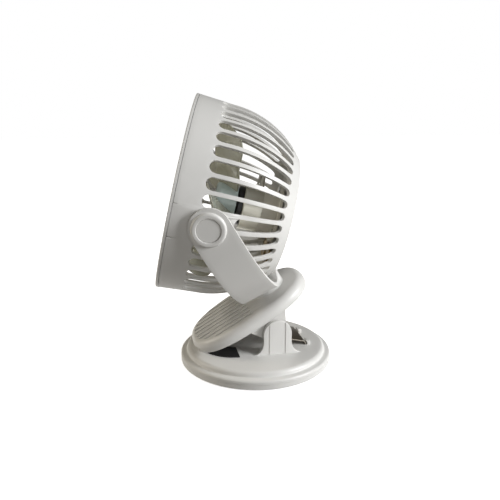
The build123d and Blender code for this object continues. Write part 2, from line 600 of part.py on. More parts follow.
def front_grille():
    """Front ring with its spigot, radial bars, a middle ring and a centre plate."""
    top = RIM_Z - 0.5
    low = top - GRILLE_DEEP
    spigot_r = wall_radius(SPIGOT_Z, INNER_DOME) - 0.15
    grille = tube(RIM_R, RIM_R - 5.5, RIM_Z - GRILLE_LIP, RIM_Z)
    grille = fillet(grille.edges().group_by(Axis.Z)[-1], 0.6)
    grille += tube(spigot_r, RIM_R - 5.5, SPIGOT_Z, RIM_Z - 1)
    pieces = [tube(GRILLE_MID_R + 1, GRILLE_MID_R - 1, low, top), disc(HUB_PLATE_R, low, top)]
    half = GRILLE_BAR / 2
    for i in range(SLOT_N):
        bar = block(GRILLE_MID_R, RIM_R - 4, -half, half, low, top)
        pieces.append(Rot(0, 0, i * 360 / SLOT_N) * bar)
    for i in range(SLOT_N // 2):
        bar = block(HUB_PLATE_R - 1, GRILLE_MID_R, -half, half, low, top)
        pieces.append(Rot(0, 0, i * 720 / SLOT_N) * bar)
    grille += pieces
    for x, y in CAGE_SCREWS:
        grille += (disc(CAGE_POST_R, SPIGOT_Z, CAGE_SCREW_Z + CAGE_HEAD_T, x, y)
                   & disc(spigot_r, SPIGOT_Z - 1, RIM_Z))
        grille -= disc(2.8, CAGE_SCREW_Z, RIM_Z + 3, x, y) + disc(1.4, SPIGOT_Z - 1, RIM_Z + 3, x, y)
    return grille - disc(HUB_PLATE_R - 2 + SEAT, top - 1.0, top + 1)


def front_centre_cap():
    top = RIM_Z - 0.3
    cap = disc(HUB_PLATE_R - 2, RIM_Z - 1.5, top)
    return chamfer(cap.edges().group_by(Axis.Z)[-1], 0.5)


def cage_screws():
    top = CAGE_SCREW_Z + CAGE_HEAD_T
    return group([disc(2.6, CAGE_SCREW_Z, top, x, y) + disc(1.18, SPIGOT_Z - 7, top, x, y)
                  for x, y in CAGE_SCREWS])


def pivot_washers():
    inner = YOKE_HALF - YOKE_T
    return group([along_x(10, s * PAD_X, s * (inner - RUN))
                  - along_x(SHOULDER_SCREW_R + SEAT, s * (PAD_X - 1), s * YOKE_HALF) for s in (-1, 1)])


def pivot_inserts():
    """Threaded brass bushes moulded into the screw posts."""
    return group([along_x(INSERT_R, s * (PAD_X - INSERT_L), s * PAD_X)
                  - along_x(PIVOT_THREAD_R, s * (PAD_X - 2 * INSERT_L), s * YOKE_HALF)
                  for s in (-1, 1)])


def pivot_screws():
    """Shoulder screws: the yoke's arms turn on the shoulder."""
    web = YOKE_HALF - YOKE_T + ARM_WEB + RUN
    screws = []
    for s in (-1, 1):
        screw = along_x(PIVOT_THREAD_R - SEAT, s * (PAD_X - INSERT_L + 0.8), s * (PAD_X + 0.5))
        screw += along_x(SHOULDER_SCREW_R, s * PAD_X, s * (web + 0.5))
        screw += along_x(PIVOT_HEAD_R, s * web, s * (web + PIVOT_HEAD_T))
        low, high = sorted((s * (web + PIVOT_HEAD_T - 0.8), s * (web + 5)))
        screws.append(screw - block(low, high, -4, 4, -0.5, 0.5))
    return group(screws)


# ---- motor ------------------------------------------------------------------------------------
def motor_mount():
    """Barrel with a flange that carries the motor on the rear disc."""
    mount = tube(MOUNT_R, MOUNT_R - 2.4, BOARD_REAR, MOTOR_REAR)
    mount += disc(MOUNT_R, MOTOR_REAR - 2, MOTOR_REAR)
    mount += tube(FLANGE_R, MOUNT_R - 1, BOARD_REAR, BOARD_REAR + FLANGE_T)
    mount -= disc(5, BOARD_REAR, 0)
    for x, y in ring_places(2, MOTOR_SCREW_RING, 0):
        mount -= disc(1.6, BOARD_REAR, 0, x, y)
    for x, y in MOUNT_SCREWS:
        mount -= disc(1.3, -60, 0, x, y) + disc(2.6, BOARD_REAR + FLANGE_T, MOTOR_REAR - 3, x, y)
    return mount


def mount_screws():
    """Small screws for the motor mount and the circuit board."""
    screws = []
    for x, y in MOUNT_SCREWS:
        top = BOARD_REAR + FLANGE_T
        screws.append(disc(2.2, top, top + 1.2, x, y) + disc(0.98, INNER_REAR, top + 0.5, x, y))
    for x, y in BOARD_POSTS:
        screws.append(disc(2.0, BOARD_FRONT, BOARD_FRONT + 1.2, x, y)
                      + disc(0.98, INNER_REAR, BOARD_FRONT + 0.5, x, y))
    return group(screws)


def motor_can():
    rear = MOTOR_REAR
    can = disc(MOTOR_R, rear, MOTOR_SEAM) - disc(MOTOR_R - CAN_T, rear + CAN_T, 0)
    can += tube(BEARING_R + 1.6, BEARING_R + SEAT, rear + CAN_T, rear + CAN_T + BEARING_T)
    for x, y in ring_places(2, MOTOR_SCREW_RING, 0):
        can -= disc(1.2, rear - 1, rear + 3, x, y)
    return can


def motor_cover():
    front = MOTOR_FRONT
    cover = disc(MOTOR_R, MOTOR_SEAM, front) - disc(MOTOR_R - CAN_T, -60, front - CAN_T)
    cover = fillet(cover.edges().group_by(Axis.Z)[-1], 0.8)
    cover += tube(BEARING_R + 1.6, BEARING_R + SEAT, front - CAN_T - BEARING_T, front - CAN_T)
    return cover - disc(SHAFT_R + 0.6, front - 3, front + 1)


def motor_end_cap():
    """Black plastic cap on the motor's front, between the motor and the hub."""
    cap = disc(END_CAP_R, MOTOR_FRONT, MOTOR_FRONT + END_CAP_T)
    cap = fillet(cap.edges().group_by(Axis.Z)[-1], 0.8)
    return cap - disc(SHAFT_R + 0.6, MOTOR_FRONT - 1, 0)


def motor_bearings():
    front, rear = MOTOR_FRONT - CAN_T, MOTOR_REAR + CAN_T
    return group([tube(BEARING_R, SHAFT_R + RUN, rear, rear + BEARING_T),
                  tube(BEARING_R, SHAFT_R + RUN, front - BEARING_T, front)])


def motor_magnets():
    """Two arc magnets on the inside of the can."""
    ring = tube(MOTOR_R - CAN_T - SEAT, MOTOR_R - CAN_T - MAGNET_T,
                MOTOR_SEAM - MAGNET_HALF_L, MOTOR_SEAM + MAGNET_HALF_L)
    ring -= block(-3, 3, -30, 30, -60, 0)
    return group(ring.solids())


def motor_screws():
    low = MOTOR_REAR - 2
    return group([disc(2.4, low - 1.3, low, x, y) + disc(1.18, low - 1.0, MOTOR_REAR + 1.1, x, y)
                  for x, y in ring_places(2, MOTOR_SCREW_RING, 0)])


def armature():
    """Five-pole laminated core with its windings, fixed on the shaft."""
    core = disc(5.2, MOTOR_SEAM - ARM_HALF_L, MOTOR_SEAM + ARM_HALF_L)
    tips = tube(ARM_R, ARM_R - 1.6, MOTOR_SEAM - ARM_HALF_L, MOTOR_SEAM + ARM_HALF_L)
    for i in range(5):
        pole = block(4, ARM_R - 1, -1.6, 1.6, MOTOR_SEAM - ARM_HALF_L, MOTOR_SEAM + ARM_HALF_L)
        core += Rot(0, 0, 72 * i) * pole
        gap = block(ARM_R - 3, ARM_R + 2, -0.9, 0.9, MOTOR_SEAM - 5, MOTOR_SEAM + 5)
        tips -= Rot(0, 0, 72 * i + 36) * gap
    return core + tips - disc(SHAFT_R, -60, 0)


def motor_shaft():
    shaft = disc(SHAFT_R, MOTOR_REAR + CAN_T + 0.3, HUB_FRONT - 2.0)
    return chamfer(shaft.edges(), 0.2)


def lead_grommet():
    """Rubber bush where the two leads come out of the motor."""
    grommet = Pos(0, MOTOR_R + 0.3, -31.5) * Rot(90, 0, 0) * Cylinder(2.6, 3.0)
    return grommet & disc(MOTOR_R + 3, -40, -20) - disc(MOTOR_R, -60, 0)


LEAD_ROUTE = [(0.0, MOTOR_R + 1.85, -31.5), (0.0, MOTOR_R + 7.5, -31.5), (-6.5, 28.0, -32.5),
              (-16.0, 25.0, -34.0), (-23.5, 13.0, -36.0), (-24.0, -4.0, -38.0),
              (-19.5, -18.0, -39.0), (-13.5, BOARD_Y + 5, -38.5), (-13.5, BOARD_Y + 5, -48.0)]
LEAD_APART = 1.15                 # half the step between the two leads, sideways and back


def corner_radii(points):
    """The largest arc that each corner's two runs leave room for."""
    radii = []
    for before, corner, after in zip(points, points[1:], points[2:]):
        run_in, run_out = corner - before, after - corner
        turn = math.radians(run_in.get_angle(run_out))
        radii.append(0.45 * min(run_in.length, run_out.length) / math.tan(turn / 2))
    return radii


def motor_leads():
    """Two insulated wires, side by side, from the motor to the circuit board."""
    routes = []
    for step in (-LEAD_APART, LEAD_APART):
        points = [Vector(x + step, y, z - step) for x, y, z in LEAD_ROUTE]
        points[-1].Z = BOARD_FRONT + 0.05
        routes.append(points)
    radii = [min(pair) for pair in zip(*map(corner_radii, routes))]
    print("motor leads, arcs in mm:", [round(radius, 1) for radius in radii])
    leads = []
    for points in routes:
        route = FilletPolyline(*points, radius=radii)
        leads.append(sweep(Plane(origin=route @ 0, z_dir=route % 0) * Circle(LEAD_R), path=route))
        print("volume against section times length:",
              round(leads[-1].volume / (math.pi * LEAD_R ** 2 * route.length), 4))
    return group(leads)


# ---- blades -----------------------------------------------------------------------------------
def blade():
    """One blade: flat sections that grow wider and flatter towards the tip."""
    sections = []
    for radius, chord, pitch, lag, mid in BLADE_SECTIONS:
        place = Pos(radius, lag, mid) * Rot(0, 90, 0) * Rot(0, 0, pitch)
        sections.append(place * Rectangle(BLADE_T, chord))
    return loft([s.face() for s in sections])


def fan_blades():
    hub = disc(HUB_R, HUB_REAR, HUB_FRONT)
    hub = fillet(hub.edges().group_by(Axis.Z)[-1], 4.0)
    one = blade() & disc(BLADE_R, HUB_REAR, BLADE_FRONT)
    fan = hub + [Rot(0, 0, 360 / BLADE_N * i) * one for i in range(BLADE_N)]
    fan -= disc(HUB_R - 2, HUB_REAR - 1, HUB_FRONT - 3) - disc(4, -60, 0)
    return fan - disc(SHAFT_R, -60, HUB_FRONT - 2.0)


# ---- electrics --------------------------------------------------------------------------------
def circuit_board():
    half_w = BOARD_W / 2
    board = block(-BOARD_L / 2, BOARD_L / 2, BOARD_Y - half_w, BOARD_Y + half_w, BOARD_REAR, BOARD_FRONT)
    board = fillet(board.edges().filter_by(Axis.Z), 1.5)
    for x, y in BOARD_POSTS:
        board -= disc(1.2, -60, 0, x, y)
    for i in range(3):
        x = -4.5 + 4.5 * i
        board += block(x - 1.4, x + 1.4, BOARD_Y - 2, BOARD_Y + 2, BOARD_FRONT - 0.2, BOARD_FRONT + 1.2)
    return board


BUTTON_IN = INNER_REAR + 1.3              # inner end of the button at rest


def tact_switch():
    top = BUTTON_IN + BUTTON_TRAVEL + 0.1
    body = block(BUTTON_X - 3, BUTTON_X + 3, BOARD_Y - 3, BOARD_Y + 3, top + 0.7, BOARD_REAR)
    return body + disc(1.7, top, top + 1.2, BUTTON_X, BOARD_Y)


def power_button():
    button = disc(BUTTON_R, REAR_Z - BUTTON_PROUD, BUTTON_IN, BUTTON_X, BOARD_Y)
    button = fillet(button.edges().group_by(Axis.Z)[0], 0.6)
    return button + disc(BUTTON_R + 1.2, INNER_REAR + 0.1, BUTTON_IN, BUTTON_X, BOARD_Y)


def usb_socket():
    half_w, half_h = SOCKET_W / 2, SOCKET_H / 2
    shell = block(SOCKET_X - half_w, SOCKET_X + half_w, BOARD_Y - half_h, BOARD_Y + half_h,
                  REAR_Z + 0.2, BOARD_REAR)
    shell = fillet(shell.edges().filter_by(Axis.Z), 1.4)
    mouth = block(SOCKET_X - half_w + 0.3, SOCKET_X + half_w - 0.3, BOARD_Y - half_h + 0.3,
                  BOARD_Y + half_h - 0.3, REAR_Z - 1, BOARD_REAR - 0.8)
    mouth = fillet(mouth.edges().filter_by(Axis.Z), 1.1)
    tongue = block(SOCKET_X - 3.2, SOCKET_X + 3.2, BOARD_Y - 0.35, BOARD_Y + 0.35,
                   REAR_Z + 0.8, BOARD_REAR - 0.5)
    return shell - mouth + tongue


# ---- build ------------------------------------------------------------------------------------
HERE = Pos(0, 0, 0)
PIECES = {
    HERE: [base_lower_shell, base_top_cover, base_ballast, rubber_feet, base_screws,
           base_grip_pad, hinge_pin, clamp_spring],
    JAW: [jaw_top_shell, jaw_lower_plate, jaw_grip_pad, jaw_screws, swivel_washer, swivel_bolt,
          swivel_nut],
    YOKE: [yoke, pivot_caps],
    HEAD: [rear_housing, front_grille, front_centre_cap, cage_screws, pivot_washers,
           pivot_inserts, pivot_screws, motor_mount, mount_screws, motor_can, motor_cover, motor_end_cap,
           motor_bearings, motor_magnets, motor_screws, armature, motor_shaft, lead_grommet,
           motor_leads, fan_blades, circuit_board, tact_switch, power_button, usb_socket],
}

os.makedirs("parts", exist_ok=True)
for frame, builders in PIECES.items():
    for build in builders:
        export_step(frame * build(), f"parts/{build.__name__}.step")
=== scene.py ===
# %% [markdown]
# # A clip fan, rebuilt for its looks
#
# The fan is a slotted plastic cage in a U-shaped yoke.  The yoke swivels on a sprung clip, and
# the clip stands on a round, weighted base.  The engineering model gives every piece its size and
# place.  This lesson loads that model, then rebuilds the shells that face the eye with softer
# edges, gives every piece the finish of its real material, and lights it like a plain product
# photograph.

# %% Load the frame
import json
import math
import bpy
from mathutils import Matrix, Vector

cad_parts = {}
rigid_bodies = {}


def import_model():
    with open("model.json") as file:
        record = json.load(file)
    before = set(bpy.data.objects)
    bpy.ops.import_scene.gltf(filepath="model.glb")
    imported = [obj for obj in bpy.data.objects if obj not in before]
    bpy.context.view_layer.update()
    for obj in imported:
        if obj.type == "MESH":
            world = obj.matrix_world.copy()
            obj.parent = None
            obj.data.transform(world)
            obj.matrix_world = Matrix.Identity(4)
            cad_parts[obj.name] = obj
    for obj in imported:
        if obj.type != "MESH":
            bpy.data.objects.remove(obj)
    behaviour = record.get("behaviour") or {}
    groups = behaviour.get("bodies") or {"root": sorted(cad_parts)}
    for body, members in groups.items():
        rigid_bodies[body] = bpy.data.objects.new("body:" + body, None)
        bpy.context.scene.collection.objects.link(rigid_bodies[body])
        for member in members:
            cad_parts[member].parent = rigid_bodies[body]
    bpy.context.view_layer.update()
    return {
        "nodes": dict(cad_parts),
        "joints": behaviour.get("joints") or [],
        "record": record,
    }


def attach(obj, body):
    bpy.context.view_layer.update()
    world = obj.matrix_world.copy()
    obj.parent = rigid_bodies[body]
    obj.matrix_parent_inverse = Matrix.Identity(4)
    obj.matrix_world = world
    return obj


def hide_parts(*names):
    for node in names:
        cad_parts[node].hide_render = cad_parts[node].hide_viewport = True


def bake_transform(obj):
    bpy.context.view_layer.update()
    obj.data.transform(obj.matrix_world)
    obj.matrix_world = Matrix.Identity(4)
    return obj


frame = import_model()
NODES = frame["nodes"]
print("nodes in the frame:", len(NODES))

# %% [markdown]
# ## Where the pieces live
#
# The jaw, the yoke and the head each lean another way.  It is far easier to model a piece
# upright, in millimetres, and to place it once it is done.  The three placing matrices come from
# the joints of the engineering model, so the visual pieces can't drift away from it.

# %% Placing matrices from the joints
JOINTS = {joint["name"]: joint for joint in frame["joints"]}
BOSS_Y = 11.05                      # swivel axis, along the jaw's top plane
PIVOT_H = 84.0                      # pivot axis above the jaw's top plane


def placing(origin_mm, x_axis, z_axis):
    """Matrix from a piece's own upright frame, in millimetres, to the row frame in metres."""
    z = Vector(z_axis).normalized()
    x = (Vector(x_axis) - z * z.dot(Vector(x_axis))).normalized()
    y = z.cross(x)
    turn = Matrix((x, y, z)).transposed().to_4x4()
    return Matrix.Scale(0.001, 4) @ Matrix.Translation(origin_mm) @ turn


SWIVEL_AXIS = Vector(JOINTS["yoke_swivel"]["axis"])
PIVOT_AXIS = -Vector(JOINTS["head_tilt"]["axis"])
HEAD_AXIS = Vector(JOINTS["blade_spin"]["axis"])
PIVOT = Vector(JOINTS["head_tilt"]["pos_m"]) * 1000
ACROSS = Vector((1, 0, 0))
ALONG_JAW = SWIVEL_AXIS.cross(ACROSS)
BASE = Matrix.Scale(0.001, 4)
JAW = placing(PIVOT - PIVOT_H * SWIVEL_AXIS - BOSS_Y * ALONG_JAW, ACROSS, SWIVEL_AXIS)
YOKE = placing(PIVOT, PIVOT_AXIS, SWIVEL_AXIS)
HEAD = placing(PIVOT, PIVOT_AXIS, HEAD_AXIS)
HINGE_Y, HINGE_Z = (1000 * value for value in JOINTS["clamp_jaw"]["pos_m"][1:])
print("pivot at", [round(value, 1) for value in PIVOT], "mm")

# %% [markdown]
# ## Modelling helpers
#
# A few hand movements come back all the time: draw an outline point by point, turn it on a lathe,
# pull it into a plate, round its edges.  Each is a short function around the operators that one
# would use by hand in edit mode.

# %% Hand movements as functions


def start_clean():
    """Leaves edit mode and deselects everything."""
    if bpy.context.object and bpy.context.object.mode != "OBJECT":
        bpy.ops.object.mode_set(mode="OBJECT")
    bpy.ops.object.select_all(action="DESELECT")


def pick(*objects):
    """Selects some objects and makes the first one active."""
    start_clean()
    for thing in objects:
        thing.select_set(True)
    bpy.context.view_layer.objects.active = objects[0]


def draw(name, points, closed=False):
    """Draws a line through (x, y, z) points: one vertex, extruded from point to point."""
    start_clean()
    bpy.ops.mesh.primitive_plane_add(size=1)
    piece = bpy.context.object
    piece.name = name
    bpy.ops.object.mode_set(mode="EDIT")
    bpy.ops.mesh.merge(type="CENTER")
    bpy.ops.transform.translate(value=points[0])
    for before, after in zip(points, points[1:]):
        step = [b - a for a, b in zip(before, after)]
        bpy.ops.mesh.extrude_region_move(TRANSFORM_OT_translate={"value": step})
    bpy.ops.mesh.select_all(action="SELECT")
    if closed:
        bpy.ops.mesh.edge_face_add()
    return piece


def smooth(piece, angle=35):
    """Smooth shading that keeps edges sharper than the angle."""
    pick(piece)
    bpy.ops.object.shade_smooth_by_angle(angle=math.radians(angle))
    return piece


def modify(piece, kind, **settings):
    """Adds a modifier and applies it."""
    pick(piece)
    modifier = piece.modifiers.new(kind.title(), kind)
    for key, value in settings.items():
        setattr(modifier, key, value)
    bpy.ops.object.modifier_apply(modifier=modifier.name)
    return piece


def round_edges(piece, width, segments=3, angle=40):
    """Rounds every edge that is sharper than the angle."""
    return modify(piece, "BEVEL", width=width, segments=segments, limit_method="ANGLE",
                  angle_limit=math.radians(angle), miter_outer="MITER_ARC")


def turned(name, profile, steps=128):
    """Lathe work: an (r, z) profile spun once round the Z axis."""
    piece = draw(name, [(r, 0, z) for r, z in profile])
    bpy.ops.mesh.spin(steps=steps, angle=2 * math.pi, center=(0, 0, 0), axis=(0, 0, 1))
    bpy.ops.mesh.select_all(action="SELECT")
    bpy.ops.mesh.remove_doubles(threshold=0.001)
    bpy.ops.mesh.normals_make_consistent(inside=False)
    bpy.ops.object.mode_set(mode="OBJECT")
    return smooth(piece)


def plate(name, outline, depth):
    """A flat plate: a closed outline of (x, y, z) points, pulled along a vector."""
    piece = draw(name, outline, closed=True)
    bpy.ops.mesh.extrude_region_move(TRANSFORM_OT_translate={"value": depth})
    bpy.ops.mesh.select_all(action="SELECT")
    bpy.ops.mesh.normals_make_consistent(inside=False)
    bpy.ops.object.mode_set(mode="OBJECT")
    return piece


def arc(centre, radius, start, end, steps):
    """Points on an arc in a plane, angles in degrees."""
    return [(centre[0] + radius * math.cos(math.radians(start + (end - start) * i / steps)),
             centre[1] + radius * math.sin(math.radians(start + (end - start) * i / steps)))
            for i in range(steps + 1)]


def carve(piece, tool):
    """Cuts a tool's shape out of a piece and throws the tool away."""
    modify(piece, "BOOLEAN", object=tool, operation="DIFFERENCE", solver="EXACT")
    bpy.data.objects.remove(tool)
    return piece


def merge(name, *pieces):
    """Joins pieces into one object."""
    pick(*pieces)
    bpy.ops.object.join()
    bpy.context.object.name = name
    return bpy.context.object


def copy_of(piece):
    """A copy of a piece with a mesh of its own."""
    double = piece.copy()
    double.data = piece.data.copy()
    bpy.context.collection.objects.link(double)
    return double


def copies_at(piece, moves):
    """Copies of a piece, one at each matrix; the piece itself is thrown away."""
    made = []
    for move in moves:
        double = copy_of(piece)
        double.data.transform(move)
        made.append(double)
    bpy.data.objects.remove(piece)
    return made


def turns(angles):
    """Matrices that turn a piece about the Z axis, angles in radians."""
    return [Matrix.Rotation(angle, 4, "Z") for angle in angles]


def round_places(count, radius, start):
    """Matrices to evenly spaced places on a ring; the first one's angle is in degrees."""
    return [Matrix.Translation((radius * math.cos(math.radians(start + 360 * i / count)),
                                radius * math.sin(math.radians(start + 360 * i / count)), 0))
            for i in range(count)]


def facing(side, distance):
    """Matrix that lays an upright piece on its side, outwards along X, at a distance."""
    return Matrix.Translation((side * distance, 0, 0)) @ Matrix.Rotation(
        side * math.pi / 2, 4, "Y")


def set_down(piece, matrix, body, material, *nodes):
    """Places a finished piece, gives it its finish and lets it ride on its body."""
    pick(piece)
    bpy.ops.object.transform_apply(location=True, rotation=True, scale=True)
    piece.data.transform(matrix)
    piece.data.materials.clear()
    piece.data.materials.append(material)
    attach(piece, body)
    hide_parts(*nodes)
    print(f"{piece.name}: {len(piece.data.polygons)} faces")


# %% [markdown]
# ## Materials
#
# Colours are written as on a colour chart, in sRGB, and turned to the linear values that the
# shader works in.  One function adds a node, sets its values and connects what it is given.

# %% Colour and node helpers


def linear(chart):
    """'#RRGGBB' from a colour chart to a linear RGBA value."""
    parts = [int(chart[i:i + 2], 16) / 255 for i in (1, 3, 5)]
    return [c / 12.92 if c <= 0.04045 else ((c + 0.055) / 1.055) ** 2.4 for c in parts] + [1.0]


def add_node(tree, kind, inputs=None, **settings):
    """Adds a node, sets its options, and sets or links its inputs."""
    made = tree.nodes.new(kind)
    for key, value in settings.items():
        setattr(made, key, value)
    for key, value in (inputs or {}).items():
        if isinstance(value, bpy.types.NodeSocket):
            tree.links.new(value, made.inputs[key])
        else:
            made.inputs[key].default_value = value
    return made


def new_material(name):
    """An empty material with only its output node."""
    material = bpy.data.materials.new(name)
    material.use_nodes = True
    material.node_tree.nodes.clear()
    output = add_node(material.node_tree, "ShaderNodeOutputMaterial")
    return material, material.node_tree, output


# %% [markdown]
# ### White moulded ABS
#
# All outer shells are injection-moulded ABS from a finely spark-eroded tool.  The grain is about
# 0.25 mm and only a few microns deep, so it softens the gloss more than it shows.  A slow, faint
# change of tone keeps large faces from looking painted.

# %% Moulded plastics


def moulded_plastic(name, chart, roughness, grain_mm=0.25, depth=0.06, flow=0.03, **shader):
    """Satin plastic: faint flow marks in the colour, fine grain in the surface."""
    material, tree, output = new_material(name)
    place = add_node(tree, "ShaderNodeTexCoord").outputs["Object"]
    drift = add_node(tree, "ShaderNodeTexNoise",
                     {"Vector": place, "Scale": 1000 / 35, "Detail": 3.0, "Roughness": 0.6})
    shade = [channel * (1 - 2 * flow) for channel in linear(chart)[:3]] + [1.0]
    tone = add_node(tree, "ShaderNodeMixRGB", {"Fac": drift.outputs["Fac"],
                                               "Color1": linear(chart), "Color2": shade})
    grain = add_node(tree, "ShaderNodeTexNoise",
                     {"Vector": place, "Scale": 1000 / grain_mm, "Detail": 2.0, "Roughness": 0.5})
    bump = add_node(tree, "ShaderNodeBump", {"Height": grain.outputs["Fac"], "Strength": depth,
                                             "Distance": 0.0001})
    gloss = add_node(tree, "ShaderNodeMapRange",
                     {"Value": grain.outputs["Fac"], "To Min": roughness - 0.04,
                      "To Max": roughness + 0.04})
    surface = add_node(tree, "ShaderNodeBsdfPrincipled",
                       {"Base Color": tone.outputs["Color"], "Roughness": gloss.outputs["Result"],
                        "Normal": bump.outputs["Normal"], "IOR": 1.53, **shader})
    tree.links.new(surface.outputs["BSDF"], output.inputs["Surface"])
    return material


WHITE_ABS = moulded_plastic("moulded_white_abs", "#DBDAD7", 0.40)
PALE_ABS = moulded_plastic("moulded_pale_abs", "#EEEBE2", 0.45)
BLACK_ACETAL = moulded_plastic("moulded_black_acetal", "#161616", 0.4)
BLACK_RUBBER = moulded_plastic("compression_moulded_rubber", "#0B0B0B", 0.75, 0.5, 0.25)
BLADE_TINT = moulded_plastic("clear_tinted_polystyrene", "#B9B8A8", 0.2, grain_mm=0.6,
                             depth=0.0, flow=0.0, **{"Transmission Weight": 0.35})
HUB_TINT = moulded_plastic("blue_tinted_polystyrene", "#CBDCDB", 0.25, grain_mm=0.6, depth=0.0)
GREY_PVC = moulded_plastic("extruded_grey_pvc", "#CFCDC6", 0.4)
BOARD_TAN = moulded_plastic("phenolic_paper_laminate", "#A08B62", 0.45)

# %% [markdown]
# ### Metals
#
# The clamp spring is a broad leaf of hardened spring steel: rolled, dark from its heat treatment
# and bright on its sheared edges.  The screws are zinc plated.  Metal keeps the default index of
# refraction; its colour, its roughness and fine rolling lines do the work.

# %% Plated and drawn metals


def plated_metal(name, chart, roughness, line_mm=0.2, depth=0.05):
    """Metal with fine lines in its gloss."""
    material, tree, output = new_material(name)
    place = add_node(tree, "ShaderNodeTexCoord").outputs["Object"]
    lines = add_node(tree, "ShaderNodeTexNoise",
                     {"Vector": place, "Scale": 1000 / line_mm, "Detail": 3.0})
    gloss = add_node(tree, "ShaderNodeMapRange",
                     {"Value": lines.outputs["Fac"], "To Min": roughness * 0.7,
                      "To Max": roughness * 1.3})
    bump = add_node(tree, "ShaderNodeBump", {"Height": lines.outputs["Fac"], "Strength": depth,
                                             "Distance": 0.0001})
    surface = add_node(tree, "ShaderNodeBsdfPrincipled",
                       {"Base Color": linear(chart), "Metallic": 1.0,
                        "Roughness": gloss.outputs["Result"], "Normal": bump.outputs["Normal"]})
    tree.links.new(surface.outputs["BSDF"], output.inputs["Surface"])
    return material


SPRING_STEEL = plated_metal("hardened_spring_steel_strip", "#A8A196", 0.34)
ZINC_STEEL = plated_metal("zinc_plated_steel", "#BFC0BE", 0.32)
GROUND_STEEL = plated_metal("ground_steel", "#C9C9C6", 0.22)
MOTOR_STEEL = plated_metal("pressed_motor_steel", "#D8D6CB", 0.42)
CAST_IRON = plated_metal("cast_iron", "#4A4744", 0.6)
FERRITE = plated_metal("sintered_ferrite", "#2B2B2C", 0.6)
BRASS = plated_metal("turned_brass", "#C9A55B", 0.28)

# %% [markdown]
# ### Which piece has which finish
#
# The engineering record sorts the pieces into material slots.  Each slot gets one finish here;
# pieces that are rebuilt below bring their own.

# %% Dress the engineering pieces
FINISH = {"white_abs": WHITE_ABS, "pale_abs": PALE_ABS, "tinted_styrene": BLADE_TINT,
          "black_rubber": BLACK_RUBBER, "black_acetal": BLACK_ACETAL, "ballast_iron": CAST_IRON,
          "zinc_steel": ZINC_STEEL, "bright_steel": GROUND_STEEL, "spring_steel": SPRING_STEEL,
          "motor_steel": MOTOR_STEEL, "ferrite": FERRITE, "brass": BRASS,
          "lead_insulation": GREY_PVC, "board_laminate": BOARD_TAN}
for part in frame["record"]["subparts"]:
    mesh = NODES[part["node"]].data
    mesh.materials.clear()
    mesh.materials.append(FINISH[part["material_slot"]])

# %% [markdown]
# ## The cage
#
# The rear housing is one moulding: a plain front band, forty ribs with long openings between
# them, and a flat disc at the rear.  One sector with one opening is modelled as a bent grid whose
# middle cells are left out, and copied round.  Thickness and rounded edges come after that, so
# every opening gets the same soft lip.

# %% Sizes of the cage
RIM_Z, RIM_R, DOME_R, REAR_Z = 27.1, 72.1, 70.4, -55.0
LIP, SHADOW_GAP, WALL = 2.0, 0.3, 2.2
HOUSING_Z = RIM_Z - LIP - SHADOW_GAP
SECTORS, RIB_W = 40, 2.7
SLOT_FRONT, SLOT_REAR, PAD_SLOT_FRONT = 8.0, -48.0, -15.0
PAD_X, PAD_HALF_W, PAD_SOFT, PAD_REAR_FADE = 71.2, 13.0, 1.2, 1.5
PAD_TOP_FADE, PAD_LOW_FADE = 4.5, 10.0          # how softly the pad runs into the band sideways
PAD_FADE_START, PAD_FADE_END = 10.0, 23.0       # and towards the rim
REAR_EDGE_R = math.sqrt(DOME_R ** 2 - REAR_Z ** 2)
LAST_ROW = 0.8                                  # the sectors stop this far before the rear face
REAR_STEPS = ((0.5, -0.55), (0.9, -0.25), (1.6, 0.0))       # inwards and back, round that edge
SLOT_LIP = 0.85


def cage_radius(z):
    """Outer radius of the cage: a slight cone in front of the pivot, a sphere behind it."""
    if z >= 0:
        return DOME_R + (RIM_R - DOME_R) * z / RIM_Z
    return math.sqrt(DOME_R ** 2 - z ** 2)


def opening_width(z):
    return 2 * math.pi * cage_radius(z) / SECTORS - RIB_W


def opening_point(u, v, front, rear):
    """Point of the opening's outline: u across from -1 to 1, v along from 0 (front) to 1."""
    half_f, half_r = opening_width(front) / 2, opening_width(rear) / 2
    z_f, z_r = front - half_f, rear + half_r
    if v <= 0:
        turn = u * math.pi / 2
        return half_f * math.sin(turn), z_f + half_f * math.cos(turn)
    if v >= 1:
        turn = u * math.pi / 2
        return half_r * math.sin(turn), z_r - half_r * math.cos(turn)
    z = z_f + (z_r - z_f) * v
    return u * opening_width(z) / 2, z


# %% One sector of the cage
ACROSS_IN, ACROSS_RIB = 8, 2        # cells across the opening, and on each half rib
FRONT_ROWS, SLOT_ROWS, REAR_ROWS = 5, 18, 2


